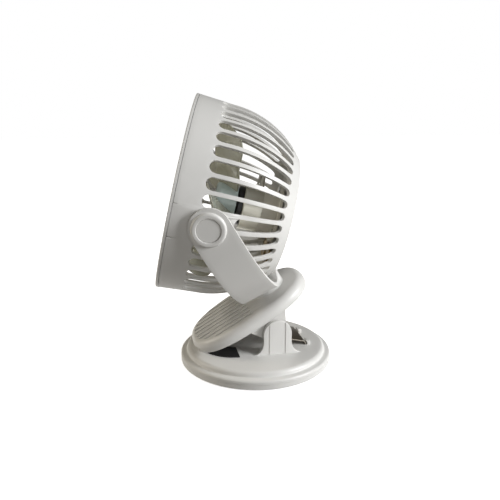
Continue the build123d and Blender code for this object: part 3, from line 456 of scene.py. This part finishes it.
def sector(front, rear):
    """Grid of one sector with its opening left out, laid on the outer surface."""
    start_clean()
    columns = ACROSS_IN + 2 * ACROSS_RIB
    rows = FRONT_ROWS + SLOT_ROWS + REAR_ROWS
    bpy.ops.mesh.primitive_grid_add(x_subdivisions=columns, y_subdivisions=rows, size=2)
    piece = bpy.context.object
    half_angle = math.pi / SECTORS
    slot_first, slot_last = FRONT_ROWS, FRONT_ROWS + SLOT_ROWS
    inside = []
    for vertex in piece.data.vertices:
        column = round((vertex.co.x + 1) / 2 * columns)
        row = round((1 - vertex.co.y) / 2 * rows)
        side = column - columns / 2
        in_slot = abs(side) <= ACROSS_IN / 2
        v = (row - slot_first) / SLOT_ROWS
        u = max(-1.0, min(1.0, side / (ACROSS_IN / 2)))
        shift, z = opening_point(u, min(max(v, 0.0), 1.0), front, rear)
        angle = shift / cage_radius(z)
        if not in_slot:
            share = (abs(side) - ACROSS_IN / 2) / ACROSS_RIB
            edge = math.copysign(half_angle, side)
            angle += (edge - angle) * share
        if row < slot_first:
            share = 1 - row / slot_first
            z += (HOUSING_Z - z) * share
            angle += (side / (columns / 2) * half_angle - angle) * share
        if row > slot_last:
            share = (row - slot_last) / REAR_ROWS
            z += (REAR_Z + LAST_ROW - z) * share
            angle += (side / (columns / 2) * half_angle - angle) * share
        if in_slot and slot_first <= row <= slot_last:
            inside.append(vertex.index)
        radius = cage_radius(z)
        vertex.co = (radius * math.cos(angle), radius * math.sin(angle), z)
    keep = set(inside)
    bpy.ops.object.mode_set(mode="EDIT")
    bpy.ops.mesh.select_all(action="DESELECT")
    bpy.ops.object.mode_set(mode="OBJECT")
    for face in piece.data.polygons:
        face.select = all(index in keep for index in face.vertices)
    bpy.ops.object.mode_set(mode="EDIT")
    bpy.ops.mesh.select_mode(type="FACE")
    bpy.ops.mesh.delete(type="FACE")
    bpy.ops.mesh.select_mode(type="VERT")
    bpy.ops.object.mode_set(mode="OBJECT")
    return piece


def between(low, high, value):
    """Smooth step from 0 to 1."""
    t = min(max((value - low) / (high - low), 0.0), 1.0)
    return t * t * (3 - 2 * t)


# %% Copy the sector round, press the pivot pads flat, close the rear
step = 2 * math.pi / SECTORS
angles = [(i + 0.5) * step for i in range(SECTORS)]
by_a_pad = [angle for angle in angles if abs(math.sin(angle)) < math.sin(step)]
elsewhere = [angle for angle in angles if angle not in by_a_pad]
long_sector, short_sector = sector(SLOT_FRONT, SLOT_REAR), sector(PAD_SLOT_FRONT, SLOT_REAR)
sectors = copies_at(long_sector, turns(elsewhere)) + copies_at(short_sector, turns(by_a_pad))
cage = merge("slotted_cage", *sectors)
for vertex in cage.data.vertices:
    x, y, z = vertex.co
    side_fade = PAD_TOP_FADE if y > 0 else PAD_LOW_FADE
    amount = 1 - between(PAD_HALF_W - side_fade, PAD_HALF_W, abs(y))
    amount *= between(PAD_SLOT_FRONT - PAD_REAR_FADE, PAD_SLOT_FRONT + PAD_SOFT, z)
    amount *= 1 - between(PAD_FADE_START, PAD_FADE_END, z)
    vertex.co.x = x + (math.copysign(PAD_X, x) - x) * amount
bpy.ops.object.mode_set(mode="EDIT")
bpy.ops.mesh.select_all(action="SELECT")
bpy.ops.mesh.remove_doubles(threshold=0.01)
bpy.ops.mesh.select_all(action="DESELECT")
bpy.ops.object.mode_set(mode="OBJECT")
for vertex in cage.data.vertices:
    vertex.select = vertex.co.z < REAR_Z + LAST_ROW + 0.1
bpy.ops.object.mode_set(mode="EDIT")
for inset, drop in REAR_STEPS:
    bpy.ops.mesh.extrude_region_move(TRANSFORM_OT_translate={"value": (0, 0, drop)})
    factor = (REAR_EDGE_R - inset) / REAR_EDGE_R
    bpy.ops.transform.resize(value=(factor, factor, 1))
bpy.ops.mesh.edge_face_add()
bpy.ops.mesh.inset(thickness=2.0, depth=0)
bpy.ops.mesh.select_all(action="SELECT")
bpy.ops.mesh.normals_make_consistent(inside=False)
bpy.ops.object.mode_set(mode="OBJECT")
modify(cage, "SOLIDIFY", thickness=WALL, offset=-1, use_even_offset=True)
round_edges(cage, SLOT_LIP, 4, 50)

# %% [markdown]
# Inside, the cage has posts for its screws, and its rear disc has a hole for the button and one
# for the charging socket.  The posts are turned and only join the wall, as a screw post does.

# %% Screw posts, button hole and socket hole
PIVOT_POST_R, PIVOT_POST_END, PIVOT_CHAMFER, PAD_SEAT = 7.0, 1.4, 0.4, 1.2
INSERT_R, INSERT_L = 4.05, 8.6
CAGE_POST_L, CAGE_CHAMFER, CAGE_BORE_R, CAGE_BORE_L = 10.0, 0.3, 1.2, 8.0
FLOOR_POST_R, SCREW_HOLE_R, POST_SINK = 2.6, 1.0, 0.5
SPIGOT_Z, CAGE_SCREW_RING, CAGE_POST_R = 19.0, 66.2, 3.2
BOARD_REAR, BOARD_Y, BOARD_POST_X, MOUNT_SCREW_RING = -49.5, -31.0, 17.0, 19.2
BUTTON_X, BUTTON_HOLE_R, SOCKET_X, SOCKET_HALF_W, SOCKET_HALF_H = -7.5, 5.15, 9.0, 4.65, 1.8



def posts_at(name, profile, moves):
    """Copies of a turned post, one at each matrix."""
    return copies_at(turned(name, profile, 32), moves)


button_hole = turned("button_hole", [(0, REAR_Z - 2), (BUTTON_HOLE_R, REAR_Z - 2),
                                     (BUTTON_HOLE_R, REAR_Z + 4), (0, REAR_Z + 4)], 48)
button_hole.data.transform(Matrix.Translation((BUTTON_X, BOARD_Y, 0)))
carve(cage, button_hole)
socket_corners = [(SOCKET_X + u * SOCKET_HALF_W, BOARD_Y + v * SOCKET_HALF_H, REAR_Z - 2)
                  for u, v in ((-1, -1), (1, -1), (1, 1), (-1, 1))]
carve(cage, plate("socket_hole", socket_corners, (0, 0, 6)))

post_end = -INSERT_L - PIVOT_POST_END
pivot_post = [(0, post_end), (PIVOT_POST_R - PIVOT_CHAMFER, post_end),
              (PIVOT_POST_R, post_end + PIVOT_CHAMFER), (PIVOT_POST_R, -PAD_SEAT),
              (INSERT_R, -PAD_SEAT), (INSERT_R, -INSERT_L), (0, -INSERT_L)]
posts = posts_at("pivot_post", pivot_post, [facing(side, PAD_X) for side in (-1, 1)])
post_end = SPIGOT_Z - CAGE_POST_L
cage_post = [(0, post_end), (CAGE_POST_R - CAGE_CHAMFER, post_end),
             (CAGE_POST_R, post_end + CAGE_CHAMFER), (CAGE_POST_R, SPIGOT_Z),
             (CAGE_BORE_R, SPIGOT_Z), (CAGE_BORE_R, SPIGOT_Z - CAGE_BORE_L),
             (0, SPIGOT_Z - CAGE_BORE_L)]
posts += posts_at("cage_screw_post", cage_post, round_places(4, CAGE_SCREW_RING, 45))
floor_z = REAR_Z + WALL - POST_SINK
floor_post = [(FLOOR_POST_R, floor_z), (FLOOR_POST_R, BOARD_REAR), (SCREW_HOLE_R, BOARD_REAR),
              (SCREW_HOLE_R, floor_z), (FLOOR_POST_R, floor_z)]
board_places = [Matrix.Translation((x, BOARD_Y, 0)) for x in (-BOARD_POST_X, BOARD_POST_X)]
posts += posts_at("floor_post", floor_post,
                  round_places(3, MOUNT_SCREW_RING, 90) + board_places)
cage = merge("slotted_cage", cage, *posts)
smooth(cage, 40)
set_down(cage, HEAD, "head", WHITE_ABS, "rear_housing")

# %% [markdown]
# ## The yoke
#
# A U-shaped strip, moulded 3 mm thick, carries the head between two arms.  Each arm ends in a
# half circle round the pivot, with a raised ring and a sunken cap that hides the screw.  The
# strip is a line pulled sideways into a ribbon, whose ends are rounded and which then gets its
# thickness; the rings are turned.  A ribbon keeps its edges even all the way round, which a block
# cut to a U wouldn't.

# %% Sizes of the yoke
YOKE_HALF, YOKE_DROP, YOKE_CORNER, YOKE_T = 74.8, 74.0, 55.7, 3.0
YOKE_FRONT, YOKE_REAR = -13.0, 14.2
YOKE_EDGE, ARM_STEPS = 0.9, 8
RING_R, RING_H, CAP_R, RING_IN_EDGE, RING_OUT_EDGE, RING_SINK = 11.2, 1.7, 7.8, 0.5, 1.4, 0.6
PIVOT_HOLE, PIVOT_RECESS, ARM_WEB = 4.05, 6.5, 1.6
BOLT_HOLE, BOLT_RECESS, BOLT_HEAD_T = 3.05, 6.05, 1.55
ARM_MID, ARM_END = (YOKE_FRONT + YOKE_REAR) / 2, (YOKE_REAR - YOKE_FRONT) / 2

# %% The ribbon: a line down one arm, round the bottom and up the other
end_rows = [ARM_END * math.sin(math.radians(7.5 * i)) for i in range(12, -1, -1)]
corner_z = YOKE_CORNER - YOKE_DROP
right = [(YOKE_HALF, z) for z in end_rows] + [(YOKE_HALF, corner_z / 2)]
right += arc((YOKE_HALF - YOKE_CORNER, corner_z), YOKE_CORNER, 0, -90, 24)
path = right + [(0, -YOKE_DROP)] + [(-x, z) for x, z in reversed(right)]
yoke = draw("yoke_strip", [(x, YOKE_FRONT, z) for x, z in path])
for _ in range(ARM_STEPS):
    bpy.ops.mesh.extrude_region_move(
        TRANSFORM_OT_translate={"value": (0, 2 * ARM_END / ARM_STEPS, 0)})
bpy.ops.object.mode_set(mode="OBJECT")
for vertex in yoke.data.vertices:
    if vertex.co.z > 0:
        width = math.sqrt(max(ARM_END ** 2 - vertex.co.z ** 2, 0)) / ARM_END
        vertex.co.y = ARM_MID + (vertex.co.y - ARM_MID) * width
bpy.ops.object.mode_set(mode="EDIT")
bpy.ops.mesh.select_all(action="SELECT")
bpy.ops.mesh.remove_doubles(threshold=0.01)
bpy.ops.mesh.normals_make_consistent(inside=False)
bpy.ops.object.mode_set(mode="OBJECT")
lowest = min(yoke.data.polygons, key=lambda face: face.center.z)
modify(yoke, "SOLIDIFY", thickness=YOKE_T, offset=1 if lowest.normal.z > 0 else -1)
round_edges(yoke, YOKE_EDGE, 4, 50)
print("yoke strip:", len(yoke.data.polygons), "faces")

# %% [markdown]
# The holes for the pivot screws and for the swivel bolt are bored first, while the strip is still
# one plain shell: a cut through a strip that already holds a ring doesn't come out the same each
# time.  The raised ring is a soft ridge round the cap, turned hollow for the pivot screw, and set
# on each arm last.

# %% Bores, and the rings on the arms
bore_profile = [(0, -4), (PIVOT_HOLE, -4), (PIVOT_HOLE, ARM_WEB - YOKE_T),
                (PIVOT_RECESS, ARM_WEB - YOKE_T), (PIVOT_RECESS, 4), (0, 4)]
for side in (-1, 1):
    bore = turned("pivot_bore", bore_profile, 64)
    bore.data.transform(facing(side, YOKE_HALF))
    carve(yoke, bore)
bolt_seat = YOKE_T - BOLT_HEAD_T
bolt_bore = turned("bolt_bore", [(0, -2), (BOLT_HOLE, -2), (BOLT_HOLE, bolt_seat),
                                 (BOLT_RECESS, bolt_seat), (BOLT_RECESS, 5), (0, 5)], 64)
bolt_bore.data.transform(Matrix.Translation((0, 0, -YOKE_DROP)))
carve(yoke, bolt_bore)
ring_inside = CAP_R + 0.02
ring_profile = ([(PIVOT_RECESS, -RING_SINK), (PIVOT_RECESS, 0.3), (ring_inside, 0.35)]
                + arc((ring_inside + RING_IN_EDGE, RING_H - RING_IN_EDGE), RING_IN_EDGE,
                      180, 90, 4)
                + arc((RING_R - RING_OUT_EDGE, RING_H - RING_OUT_EDGE), RING_OUT_EDGE, 90, 0, 7)
                + [(RING_R + 0.05, 0.2), (RING_R + 0.3, -0.02), (RING_R + 0.3, -RING_SINK),
                   (PIVOT_RECESS, -RING_SINK)])
for side in (-1, 1):
    ring = turned("pivot_ring", ring_profile, 96)
    ring.data.transform(facing(side, YOKE_HALF))
    yoke = merge("yoke", yoke, ring)
smooth(yoke, 40)
set_down(yoke, YOKE, "yoke_arm", WHITE_ABS, "yoke")

# %% [markdown]
# ## The upper jaw
#
# The jaw is the part that the thumb presses: a long oval shell, flat on top, with nine gripping
# ribs towards its tip and a round boss for the swivel.  Its outline is a superellipse, squarer
# than an ellipse.  The shell is that outline, lifted and drawn in ring by ring: round the lower
# edge, up the side and over the broad upper edge.

# %% Sizes of the jaw
JAW_HALF_W, JAW_FRONT, JAW_REAR, JAW_T = 34.5, -61.5, 40.2, 10.5
JAW_SQUARE, JAW_TOP_EDGE, JAW_LOW_EDGE = 2.58, 5.5, 3.0
JAW_MID, JAW_HALF_L = (JAW_FRONT + JAW_REAR) / 2, (JAW_REAR - JAW_FRONT) / 2
HOLLOW_INSET, HOLLOW_TOP = 7.5, -2.6            # the hollow under the shell
PLATE_INSET, PLATE_T = 6.0, 2.0                 # and the step in its rim, for the lower plate
GROOVES, GROOVE_PITCH, GROOVE_END = 9, 6.2, -10.1
GROOVE_W, GROOVE_DEEP, GROOVE_INSET, RIB_EDGE = 2.2, 0.8, 5.0, 0.35
SWIVEL_R, SWIVEL_H, BOSS_SINK, BOSS_ROOT, BOSS_EDGE = 14.0, 8.6, 2.5, 0.8, 0.9


def oval(inset, z, count=120):
    """Superellipse outline of the jaw, drawn in by a distance."""
    points = []
    for i in range(count):
        cosine, sine = math.cos(2 * math.pi * i / count), math.sin(2 * math.pi * i / count)
        across = math.copysign(abs(cosine) ** (2 / JAW_SQUARE), cosine)
        along = math.copysign(abs(sine) ** (2 / JAW_SQUARE), sine)
        points.append(((JAW_HALF_W - inset) * across, JAW_MID + (JAW_HALF_L - inset) * along, z))
    return points


# %% Lift the outline ring by ring
rings = [(HOLLOW_INSET, HOLLOW_TOP), (HOLLOW_INSET, PLATE_T - JAW_T),
         (PLATE_INSET, PLATE_T - JAW_T), (PLATE_INSET, -JAW_T)]
rings += [(JAW_LOW_EDGE - dx, -JAW_T + JAW_LOW_EDGE + dz) for dx, dz in
          arc((0, 0), JAW_LOW_EDGE, -90, 0, 6)]
rings += [(JAW_TOP_EDGE - dx, -JAW_TOP_EDGE + dz) for dx, dz in
          arc((0, 0), JAW_TOP_EDGE, 0, 90, 12)]
jaw = draw("jaw_shell", oval(*rings[0]), closed=True)
for (before, low), (inset, high) in zip(rings, rings[1:]):
    bpy.ops.mesh.extrude_region_move(TRANSFORM_OT_translate={"value": (0, 0, high - low)})
    bpy.ops.transform.resize(value=((JAW_HALF_W - inset) / (JAW_HALF_W - before),
                                    (JAW_HALF_L - inset) / (JAW_HALF_L - before), 1),
                             center_override=(0, JAW_MID, 0))
bpy.ops.mesh.select_all(action="SELECT")
bpy.ops.mesh.normals_make_consistent(inside=False)
bpy.ops.object.mode_set(mode="OBJECT")

# %% [markdown]
# The grooves between the ribs run out towards the oval's edge and stop on one straight line.
# Each is cut with a flat bar whose front end follows the outline, and its edges are rounded
# afterwards.

# %% Cut the grooves and add the swivel boss


def groove_front(x):
    """Where the outline, drawn in, crosses a lengthwise line."""
    a, b = JAW_HALF_W - GROOVE_INSET, JAW_HALF_L - GROOVE_INSET
    return JAW_MID - b * (1 - min(abs(x) / a, 1) ** JAW_SQUARE) ** (1 / JAW_SQUARE)


for i in range(GROOVES):
    x = (i - (GROOVES - 1) / 2) * GROOVE_PITCH
    left, right = x - GROOVE_W / 2, x + GROOVE_W / 2
    outline = [(left, groove_front(left)), (right, groove_front(right)), (right, GROOVE_END),
               (left, GROOVE_END)]
    carve(jaw, plate("groove", [(x, y, -GROOVE_DEEP) for x, y in outline], (0, 0, 3)))
round_edges(jaw, RIB_EDGE, 2, 50)
root_r = SWIVEL_R + BOSS_ROOT
boss_profile = ([(0, -BOSS_SINK), (root_r, -BOSS_SINK), (root_r, 0.0)]
                + [(root_r - dx, BOSS_ROOT - dz) for dx, dz in
                   reversed(arc((0, 0), BOSS_ROOT, 0, 90, 4))][1:]
                + arc((SWIVEL_R - BOSS_EDGE, SWIVEL_H - BOSS_EDGE), BOSS_EDGE, 0, 90, 5)
                + [(0, SWIVEL_H)])
boss = turned("swivel_boss", boss_profile, 96)
boss.data.transform(Matrix.Translation((0, BOSS_Y, 0)))
jaw = merge("jaw_top_shell", jaw, boss)
smooth(jaw, 40)
set_down(jaw, JAW, "clamp", WHITE_ABS, "jaw_top_shell")

# %% [markdown]
# ## The base
#
# The upper half of the base is a shallow lid: a straight wall, a soft shoulder, a fine groove and
# a second shoulder up to the flat top.  All of that is lathe work.  Two ears stand on it and
# carry the hinge; they are plates with flared feet, two fine grooves and rounded edges.

# %% Turn the lid
BASE_R, PART_Z, WALL_TOP, PLATEAU_R, PLATEAU_Z = 60.0, 4.5, 6.05, 52.2, 12.2
LIP_IN, LIP_OUT, LIP_Z, SHOULDER_R, PART_EDGE = 56.2, 57.7, 2.9, 1.8, 0.25
groove = [(57.4, 8.1), (56.2, 8.28), (55.75, 8.42), (55.5, 8.62), (55.4, 8.95)]
lid_profile = ([(0, PLATEAU_Z - WALL), (50.0, PLATEAU_Z - WALL), (53.0, 6.4), (LIP_IN, 6.2),
                (LIP_IN, LIP_Z), (LIP_OUT, LIP_Z), (LIP_OUT, PART_Z),
                (BASE_R - PART_EDGE, PART_Z), (BASE_R, PART_Z + PART_EDGE), (BASE_R, WALL_TOP)]
               + arc((BASE_R - SHOULDER_R, 6.2), SHOULDER_R, 0, 80, 8) + groove
               + arc((PLATEAU_R, 9.1), 3.1, 5, 88, 9)
               + [(50.0, PLATEAU_Z), (27.0, PLATEAU_Z), (0, PLATEAU_Z)])
lid = turned("base_lid", lid_profile, 160)

# %% [markdown]
# Each ear is drawn from the side, pulled 3 mm thick and rounded.  The foot of the ear sinks a
# little into the lid, as one moulding would.  Two small hooks behind them hold down the far edge
# of the leaf spring.

# %% Ears, hooks and screw bosses
EAR_OUT, EAR_T, EAR_R, EAR_FOOT, EAR_FLARE_Z, FOOT_SINK = 27.0, 3.0, 11.1, 19.3, 22.0, 1.0
EAR_EDGE, HOOK_EDGE = 0.7, 0.5
EAR_GROOVES, EAR_GROOVE_DEEP, EAR_GROOVE_HALF_W, ABOVE_EARS = (-6.8, 5.9), 0.6, 0.4, 60
HOOK_X, HOOK_W, HOOK_Y, HOOK_BACK, HOOK_NOSE = 12.0, 6.0, 39.2, 41.8, 38.5
HOOK_TOP, HOOK_LOW = 15.4, 14.2
SCREW_XY, BOSS_R, BOSS_BORE, BOSS_LOW, BOSS_TOP = 28.28, 3.8, 1.3, 2.9, 10.5
flare = [(EAR_FOOT - (EAR_FOOT - EAR_R) * math.cos(math.radians(90 - t)),
          EAR_FLARE_Z - (EAR_FLARE_Z - PLATEAU_Z) * math.sin(math.radians(90 - t)))
         for t in range(0, 91, 10)]
half_ear = [(EAR_FOOT, PLATEAU_Z - FOOT_SINK)] + flare
top_of_ear = arc((0, HINGE_Z), EAR_R, 0, 180, 32)
side_view = [(HINGE_Y + y, z) for y, z in half_ear + top_of_ear] \
    + [(HINGE_Y - y, z) for y, z in reversed(half_ear)]
for side in (-1, 1):
    inner = side * (EAR_OUT - EAR_T)
    ear = plate("ear", [(inner, y, z) for y, z in side_view], (side * EAR_T, 0, 0))
    round_edges(ear, EAR_EDGE, 3, 50)
    for offset in EAR_GROOVES:
        x, y = side * (EAR_OUT - EAR_GROOVE_DEEP), HINGE_Y + offset
        near, far = y - EAR_GROOVE_HALF_W, y + EAR_GROOVE_HALF_W
        strip = [(x, near, PLATEAU_Z), (x, far, PLATEAU_Z), (x, far, ABOVE_EARS),
                 (x, near, ABOVE_EARS)]
        carve(ear, plate("ear_groove", strip, (side * 3, 0, 0)))
    lid = merge("base_lid", lid, ear)

hook_view = [(HOOK_Y, PLATEAU_Z - FOOT_SINK), (HOOK_BACK, PLATEAU_Z - FOOT_SINK),
             (HOOK_BACK, HOOK_TOP), (HOOK_NOSE, HOOK_TOP), (HOOK_NOSE, HOOK_LOW),
             (HOOK_Y, HOOK_LOW)]
pieces = [lid]
for x in (-HOOK_X, HOOK_X):
    hook = plate("spring_hook", [(x - HOOK_W / 2, y, z) for y, z in hook_view], (HOOK_W, 0, 0))
    pieces.append(round_edges(hook, HOOK_EDGE, 3, 50))
boss_profile = [(BOSS_BORE, BOSS_LOW), (BOSS_R, BOSS_LOW), (BOSS_R, BOSS_TOP),
                (BOSS_BORE, BOSS_TOP), (BOSS_BORE, BOSS_LOW)]
pieces += copies_at(turned("screw_boss", boss_profile, 24),
                    [Matrix.Translation((SCREW_XY * u, SCREW_XY * v, 0))
                     for u, v in ((1, 1), (-1, 1), (-1, -1), (1, -1))])
lid = merge("base_lid", *pieces)
smooth(lid, 40)
set_down(lid, BASE, "base", WHITE_ABS, "base_top_cover")

# %% [markdown]
# ## The leaf spring
#
# The engineering leaf already has its bends; a stamped strip also has slightly rolled edges, and
# those catch the light as one bright line.  A copy of its mesh is joined up, its flat faces are
# merged, and its edges are rounded by a quarter of a millimetre.

# %% Round the edges of the leaf
EDGE_ROLL = 0.00025                 # metres, because this mesh is already in the row frame
leaf = copy_of(NODES["clamp_spring"])
leaf.name = "spring_leaf"
pick(leaf)
bpy.ops.object.parent_clear(type="CLEAR_KEEP_TRANSFORM")
bpy.ops.object.mode_set(mode="EDIT")
bpy.ops.mesh.select_all(action="SELECT")
bpy.ops.mesh.remove_doubles(threshold=1e-6)
bpy.ops.mesh.dissolve_limited(angle_limit=math.radians(1))
bpy.ops.object.mode_set(mode="OBJECT")
round_edges(leaf, EDGE_ROLL, 3, 50)
smooth(leaf, 40)
leaf.data.materials.clear()
leaf.data.materials.append(SPRING_STEEL)
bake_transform(leaf)
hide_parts("clamp_spring")

# %% [markdown]
# ## Hub and blades
#
# The fan wheel is moulded in tinted styrene: a bluish, cup-shaped hub and five broad, twisted
# blades that let a little light through.  A blade is a flat grid whose rows are turned from steep
# at the hub to shallow at the tip; thickness and rounded edges follow.

# %% Turn the hub
HUB_R, HUB_FRONT, HUB_REAR, BLADES, BLADE_R = 15.0, -1.0, -17.0, 5, 58.0
hub_profile = ([(1.5, -3.2), (1.5, -12.0), (4.0, -12.0), (4.0, -4.0), (HUB_R - 2, -4.0),
                (HUB_R - 2, HUB_REAR + 0.3), (HUB_R - 1.7, HUB_REAR), (HUB_R - 0.3, HUB_REAR),
                (HUB_R, HUB_REAR + 0.3)] + arc((HUB_R - 4, HUB_FRONT - 4), 4, 0, 90, 8)
               + [(0, HUB_FRONT), (0, -3.2), (1.5, -3.2)])
hub = turned("fan_hub", hub_profile, 96)

# %% Twist one blade
# Sections: radius, chord, pitch in degrees, lag of the chord's middle, and its height.
SECTIONS = [(12.0, 16.0, 60, 0.0, -9.2), (34.0, 34.0, 34, 3.0, -3.4), (61.0, 48.0, 24, 7.0, -1.2)]
TIP_CORNER, ROOT_R, BLADE_T, BLADE_EDGE = 7.0, 14.2, 1.6, 0.6
CROWDING = 1.35                     # how much closer the rows stand near the tip's round corners
ROWS, COLUMNS = 24, 12


def blade_point(radius, side):
    """Point of the blade's middle surface; side runs across the chord from -1 to 1."""
    x = radius
    for _ in range(12):
        first, last = (SECTIONS[0], SECTIONS[1]) if x < SECTIONS[1][0] else SECTIONS[1:]
        share = (x - first[0]) / (last[0] - first[0])
        _, chord, pitch, lag, middle = [a + (b - a) * share for a, b in zip(first, last)]
        half = chord / 2
        over = radius - (BLADE_R - TIP_CORNER)
        if over > 0:
            half -= TIP_CORNER - math.sqrt(max(TIP_CORNER ** 2 - over ** 2, 0))
        y = lag + side * half * math.cos(math.radians(pitch))
        x = math.sqrt(max(radius ** 2 - y ** 2, 4.0))
    return x, y, middle + side * half * math.sin(math.radians(pitch))


start_clean()
bpy.ops.mesh.primitive_grid_add(x_subdivisions=ROWS, y_subdivisions=COLUMNS, size=2)
blade = bpy.context.object
for vertex in blade.data.vertices:
    along = (vertex.co.x + 1) / 2
    radius = ROOT_R + (BLADE_R - ROOT_R) * (1 - (1 - along) ** CROWDING)
    vertex.co = blade_point(radius, vertex.co.y)
modify(blade, "SOLIDIFY", thickness=BLADE_T, offset=0)
round_edges(blade, BLADE_EDGE, 3, 50)
wheel = copies_at(blade, turns([2 * math.pi * i / BLADES for i in range(BLADES)]))
blades = merge("fan_blades", *wheel)
smooth(blades, 40)
smooth(hub, 40)
set_down(hub, HEAD, "rotor", HUB_TINT, "fan_blades")
set_down(blades, HEAD, "rotor", BLADE_TINT, "fan_blades")

# %% [markdown]
# ## Floor, light and camera
#
# The photograph shows the fan on pure white.  The floor is a pale sheet that the camera sees as
# white, and it glows more the further it lies from the fan, so that it has no horizon; near the
# fan a soft shadow stays.  To the light that bounces off it the same floor is a dull brown-grey
# felt, so that the undersides stay as dark as in the photograph.

# %% Floor and world
FLOOR_GLOW, GLOW_FROM, GLOW_TO, FLOOR_SIZE = 0.80, 0.10, 0.45, 8
FILL_TINT, FILL_STRENGTH = [1.0, 0.93, 0.80, 1.0], 0.07
floor_material, tree, output = new_material("matt_paper_backdrop")
paper = add_node(tree, "ShaderNodeBsdfDiffuse", {"Color": linear("#F4F4F2")})
place = add_node(tree, "ShaderNodeTexCoord").outputs["Object"]
away = add_node(tree, "ShaderNodeVectorMath", {0: place}, operation="LENGTH")
fade = add_node(tree, "ShaderNodeMapRange",
                {"Value": away.outputs["Value"], "From Min": GLOW_FROM, "From Max": GLOW_TO,
                 "To Min": FLOOR_GLOW, "To Max": 1.0})
glow = add_node(tree, "ShaderNodeEmission", {"Color": [1, 1, 1, 1],
                                             "Strength": fade.outputs["Result"]})
seen_paper = add_node(tree, "ShaderNodeAddShader")
tree.links.new(paper.outputs[0], seen_paper.inputs[0])
tree.links.new(glow.outputs[0], seen_paper.inputs[1])
felt_paper = add_node(tree, "ShaderNodeBsdfDiffuse", {"Color": linear("#66615A")})
ray = add_node(tree, "ShaderNodeLightPath")
direct = add_node(tree, "ShaderNodeMath", {0: ray.outputs["Is Camera Ray"],
                                           1: ray.outputs["Is Glossy Ray"]}, operation="MAXIMUM")
direct = add_node(tree, "ShaderNodeMath", {0: direct.outputs[0],
                                           1: ray.outputs["Is Transmission Ray"]},
                  operation="MAXIMUM")
mixed = add_node(tree, "ShaderNodeMixShader", {0: direct.outputs[0], 1: felt_paper.outputs[0],
                                               2: seen_paper.outputs[0]})
tree.links.new(mixed.outputs[0], output.inputs["Surface"])

start_clean()
bpy.ops.mesh.primitive_plane_add(size=FLOOR_SIZE, location=(0, 0, 0))
floor = bpy.context.object
floor.name = "floor"
floor.data.materials.append(floor_material)

world = bpy.data.worlds.new("studio")
bpy.context.scene.world = world
world.use_nodes = True
tree = world.node_tree
tree.nodes.clear()
output = add_node(tree, "ShaderNodeOutputWorld")
ray = add_node(tree, "ShaderNodeLightPath")
fill = add_node(tree, "ShaderNodeBackground", {"Color": FILL_TINT, "Strength": FILL_STRENGTH})
white = add_node(tree, "ShaderNodeBackground", {"Color": [1, 1, 1, 1], "Strength": 1.0})
direct = add_node(tree, "ShaderNodeMath", {0: ray.outputs["Is Camera Ray"],
                                           1: ray.outputs["Is Transmission Ray"]},
                  operation="MAXIMUM")
mixed = add_node(tree, "ShaderNodeMixShader", {0: direct.outputs[0], 1: fill.outputs[0],
                                               2: white.outputs[0]})
tree.links.new(mixed.outputs[0], output.inputs["Surface"])

# %% [markdown]
# The key lamp stands low behind the fan on the right and grazes its sides, so faces that turn
# right are bright and those that turn left and down fall into shade.  A warm lamp in front of the
# fan opens that shade.  Two faint ones, by the camera and high up, lift the caps and the flat
# tops.

# %% Lamps
HEART = Vector((0.0, -0.02, 0.10))
LAMP_FAR, LAMP_SIZE = 1.3, 0.5
COOL_WHITE, WARM_WHITE = (0.98, 0.99, 1.0), (1.0, 0.93, 0.80)
for name, direction, watts, tint in (("key_lamp", (1.0, 1.6, 0.62), 18.2, COOL_WHITE),
                                     ("front_lamp", (-0.2, -1.0, 0.4), 7.6, WARM_WHITE),
                                     ("camera_lamp", (1.0, 0.0, 0.2), 1.7, COOL_WHITE),
                                     ("high_lamp", (0.6, 1.0, 1.2), 2.6, COOL_WHITE)):
    start_clean()
    place = HEART + LAMP_FAR * Vector(direction).normalized()
    bpy.ops.object.light_add(type="AREA", location=place)
    lamp = bpy.context.object
    lamp.name = name
    lamp.data.shape = "SQUARE"
    lamp.data.size = LAMP_SIZE
    lamp.data.energy = watts
    lamp.data.color = tint
    lamp.rotation_euler = (HEART - place).to_track_quat("-Z", "Y").to_euler()

# %% [markdown]
# The camera stands where the photograph was taken from: a short lens, a little above the fan and
# almost square to its side.

# %% Camera
CAMERA_AT = Vector((0.3972, -0.0903, 0.1920))
CAMERA_LOOKS = Vector((-0.9475, 0.2047, -0.2455))
LENS, SENSOR = 38.83, 36.0
start_clean()
bpy.ops.object.camera_add(location=CAMERA_AT)
camera = bpy.context.object
camera.rotation_euler = CAMERA_LOOKS.to_track_quat("-Z", "Y").to_euler()
camera.data.lens, camera.data.sensor_width = LENS, SENSOR
camera.data.clip_start = 0.01
bpy.context.scene.camera = camera
bpy.context.scene.view_settings.view_transform = "Standard"

# %% The end
start_clean()
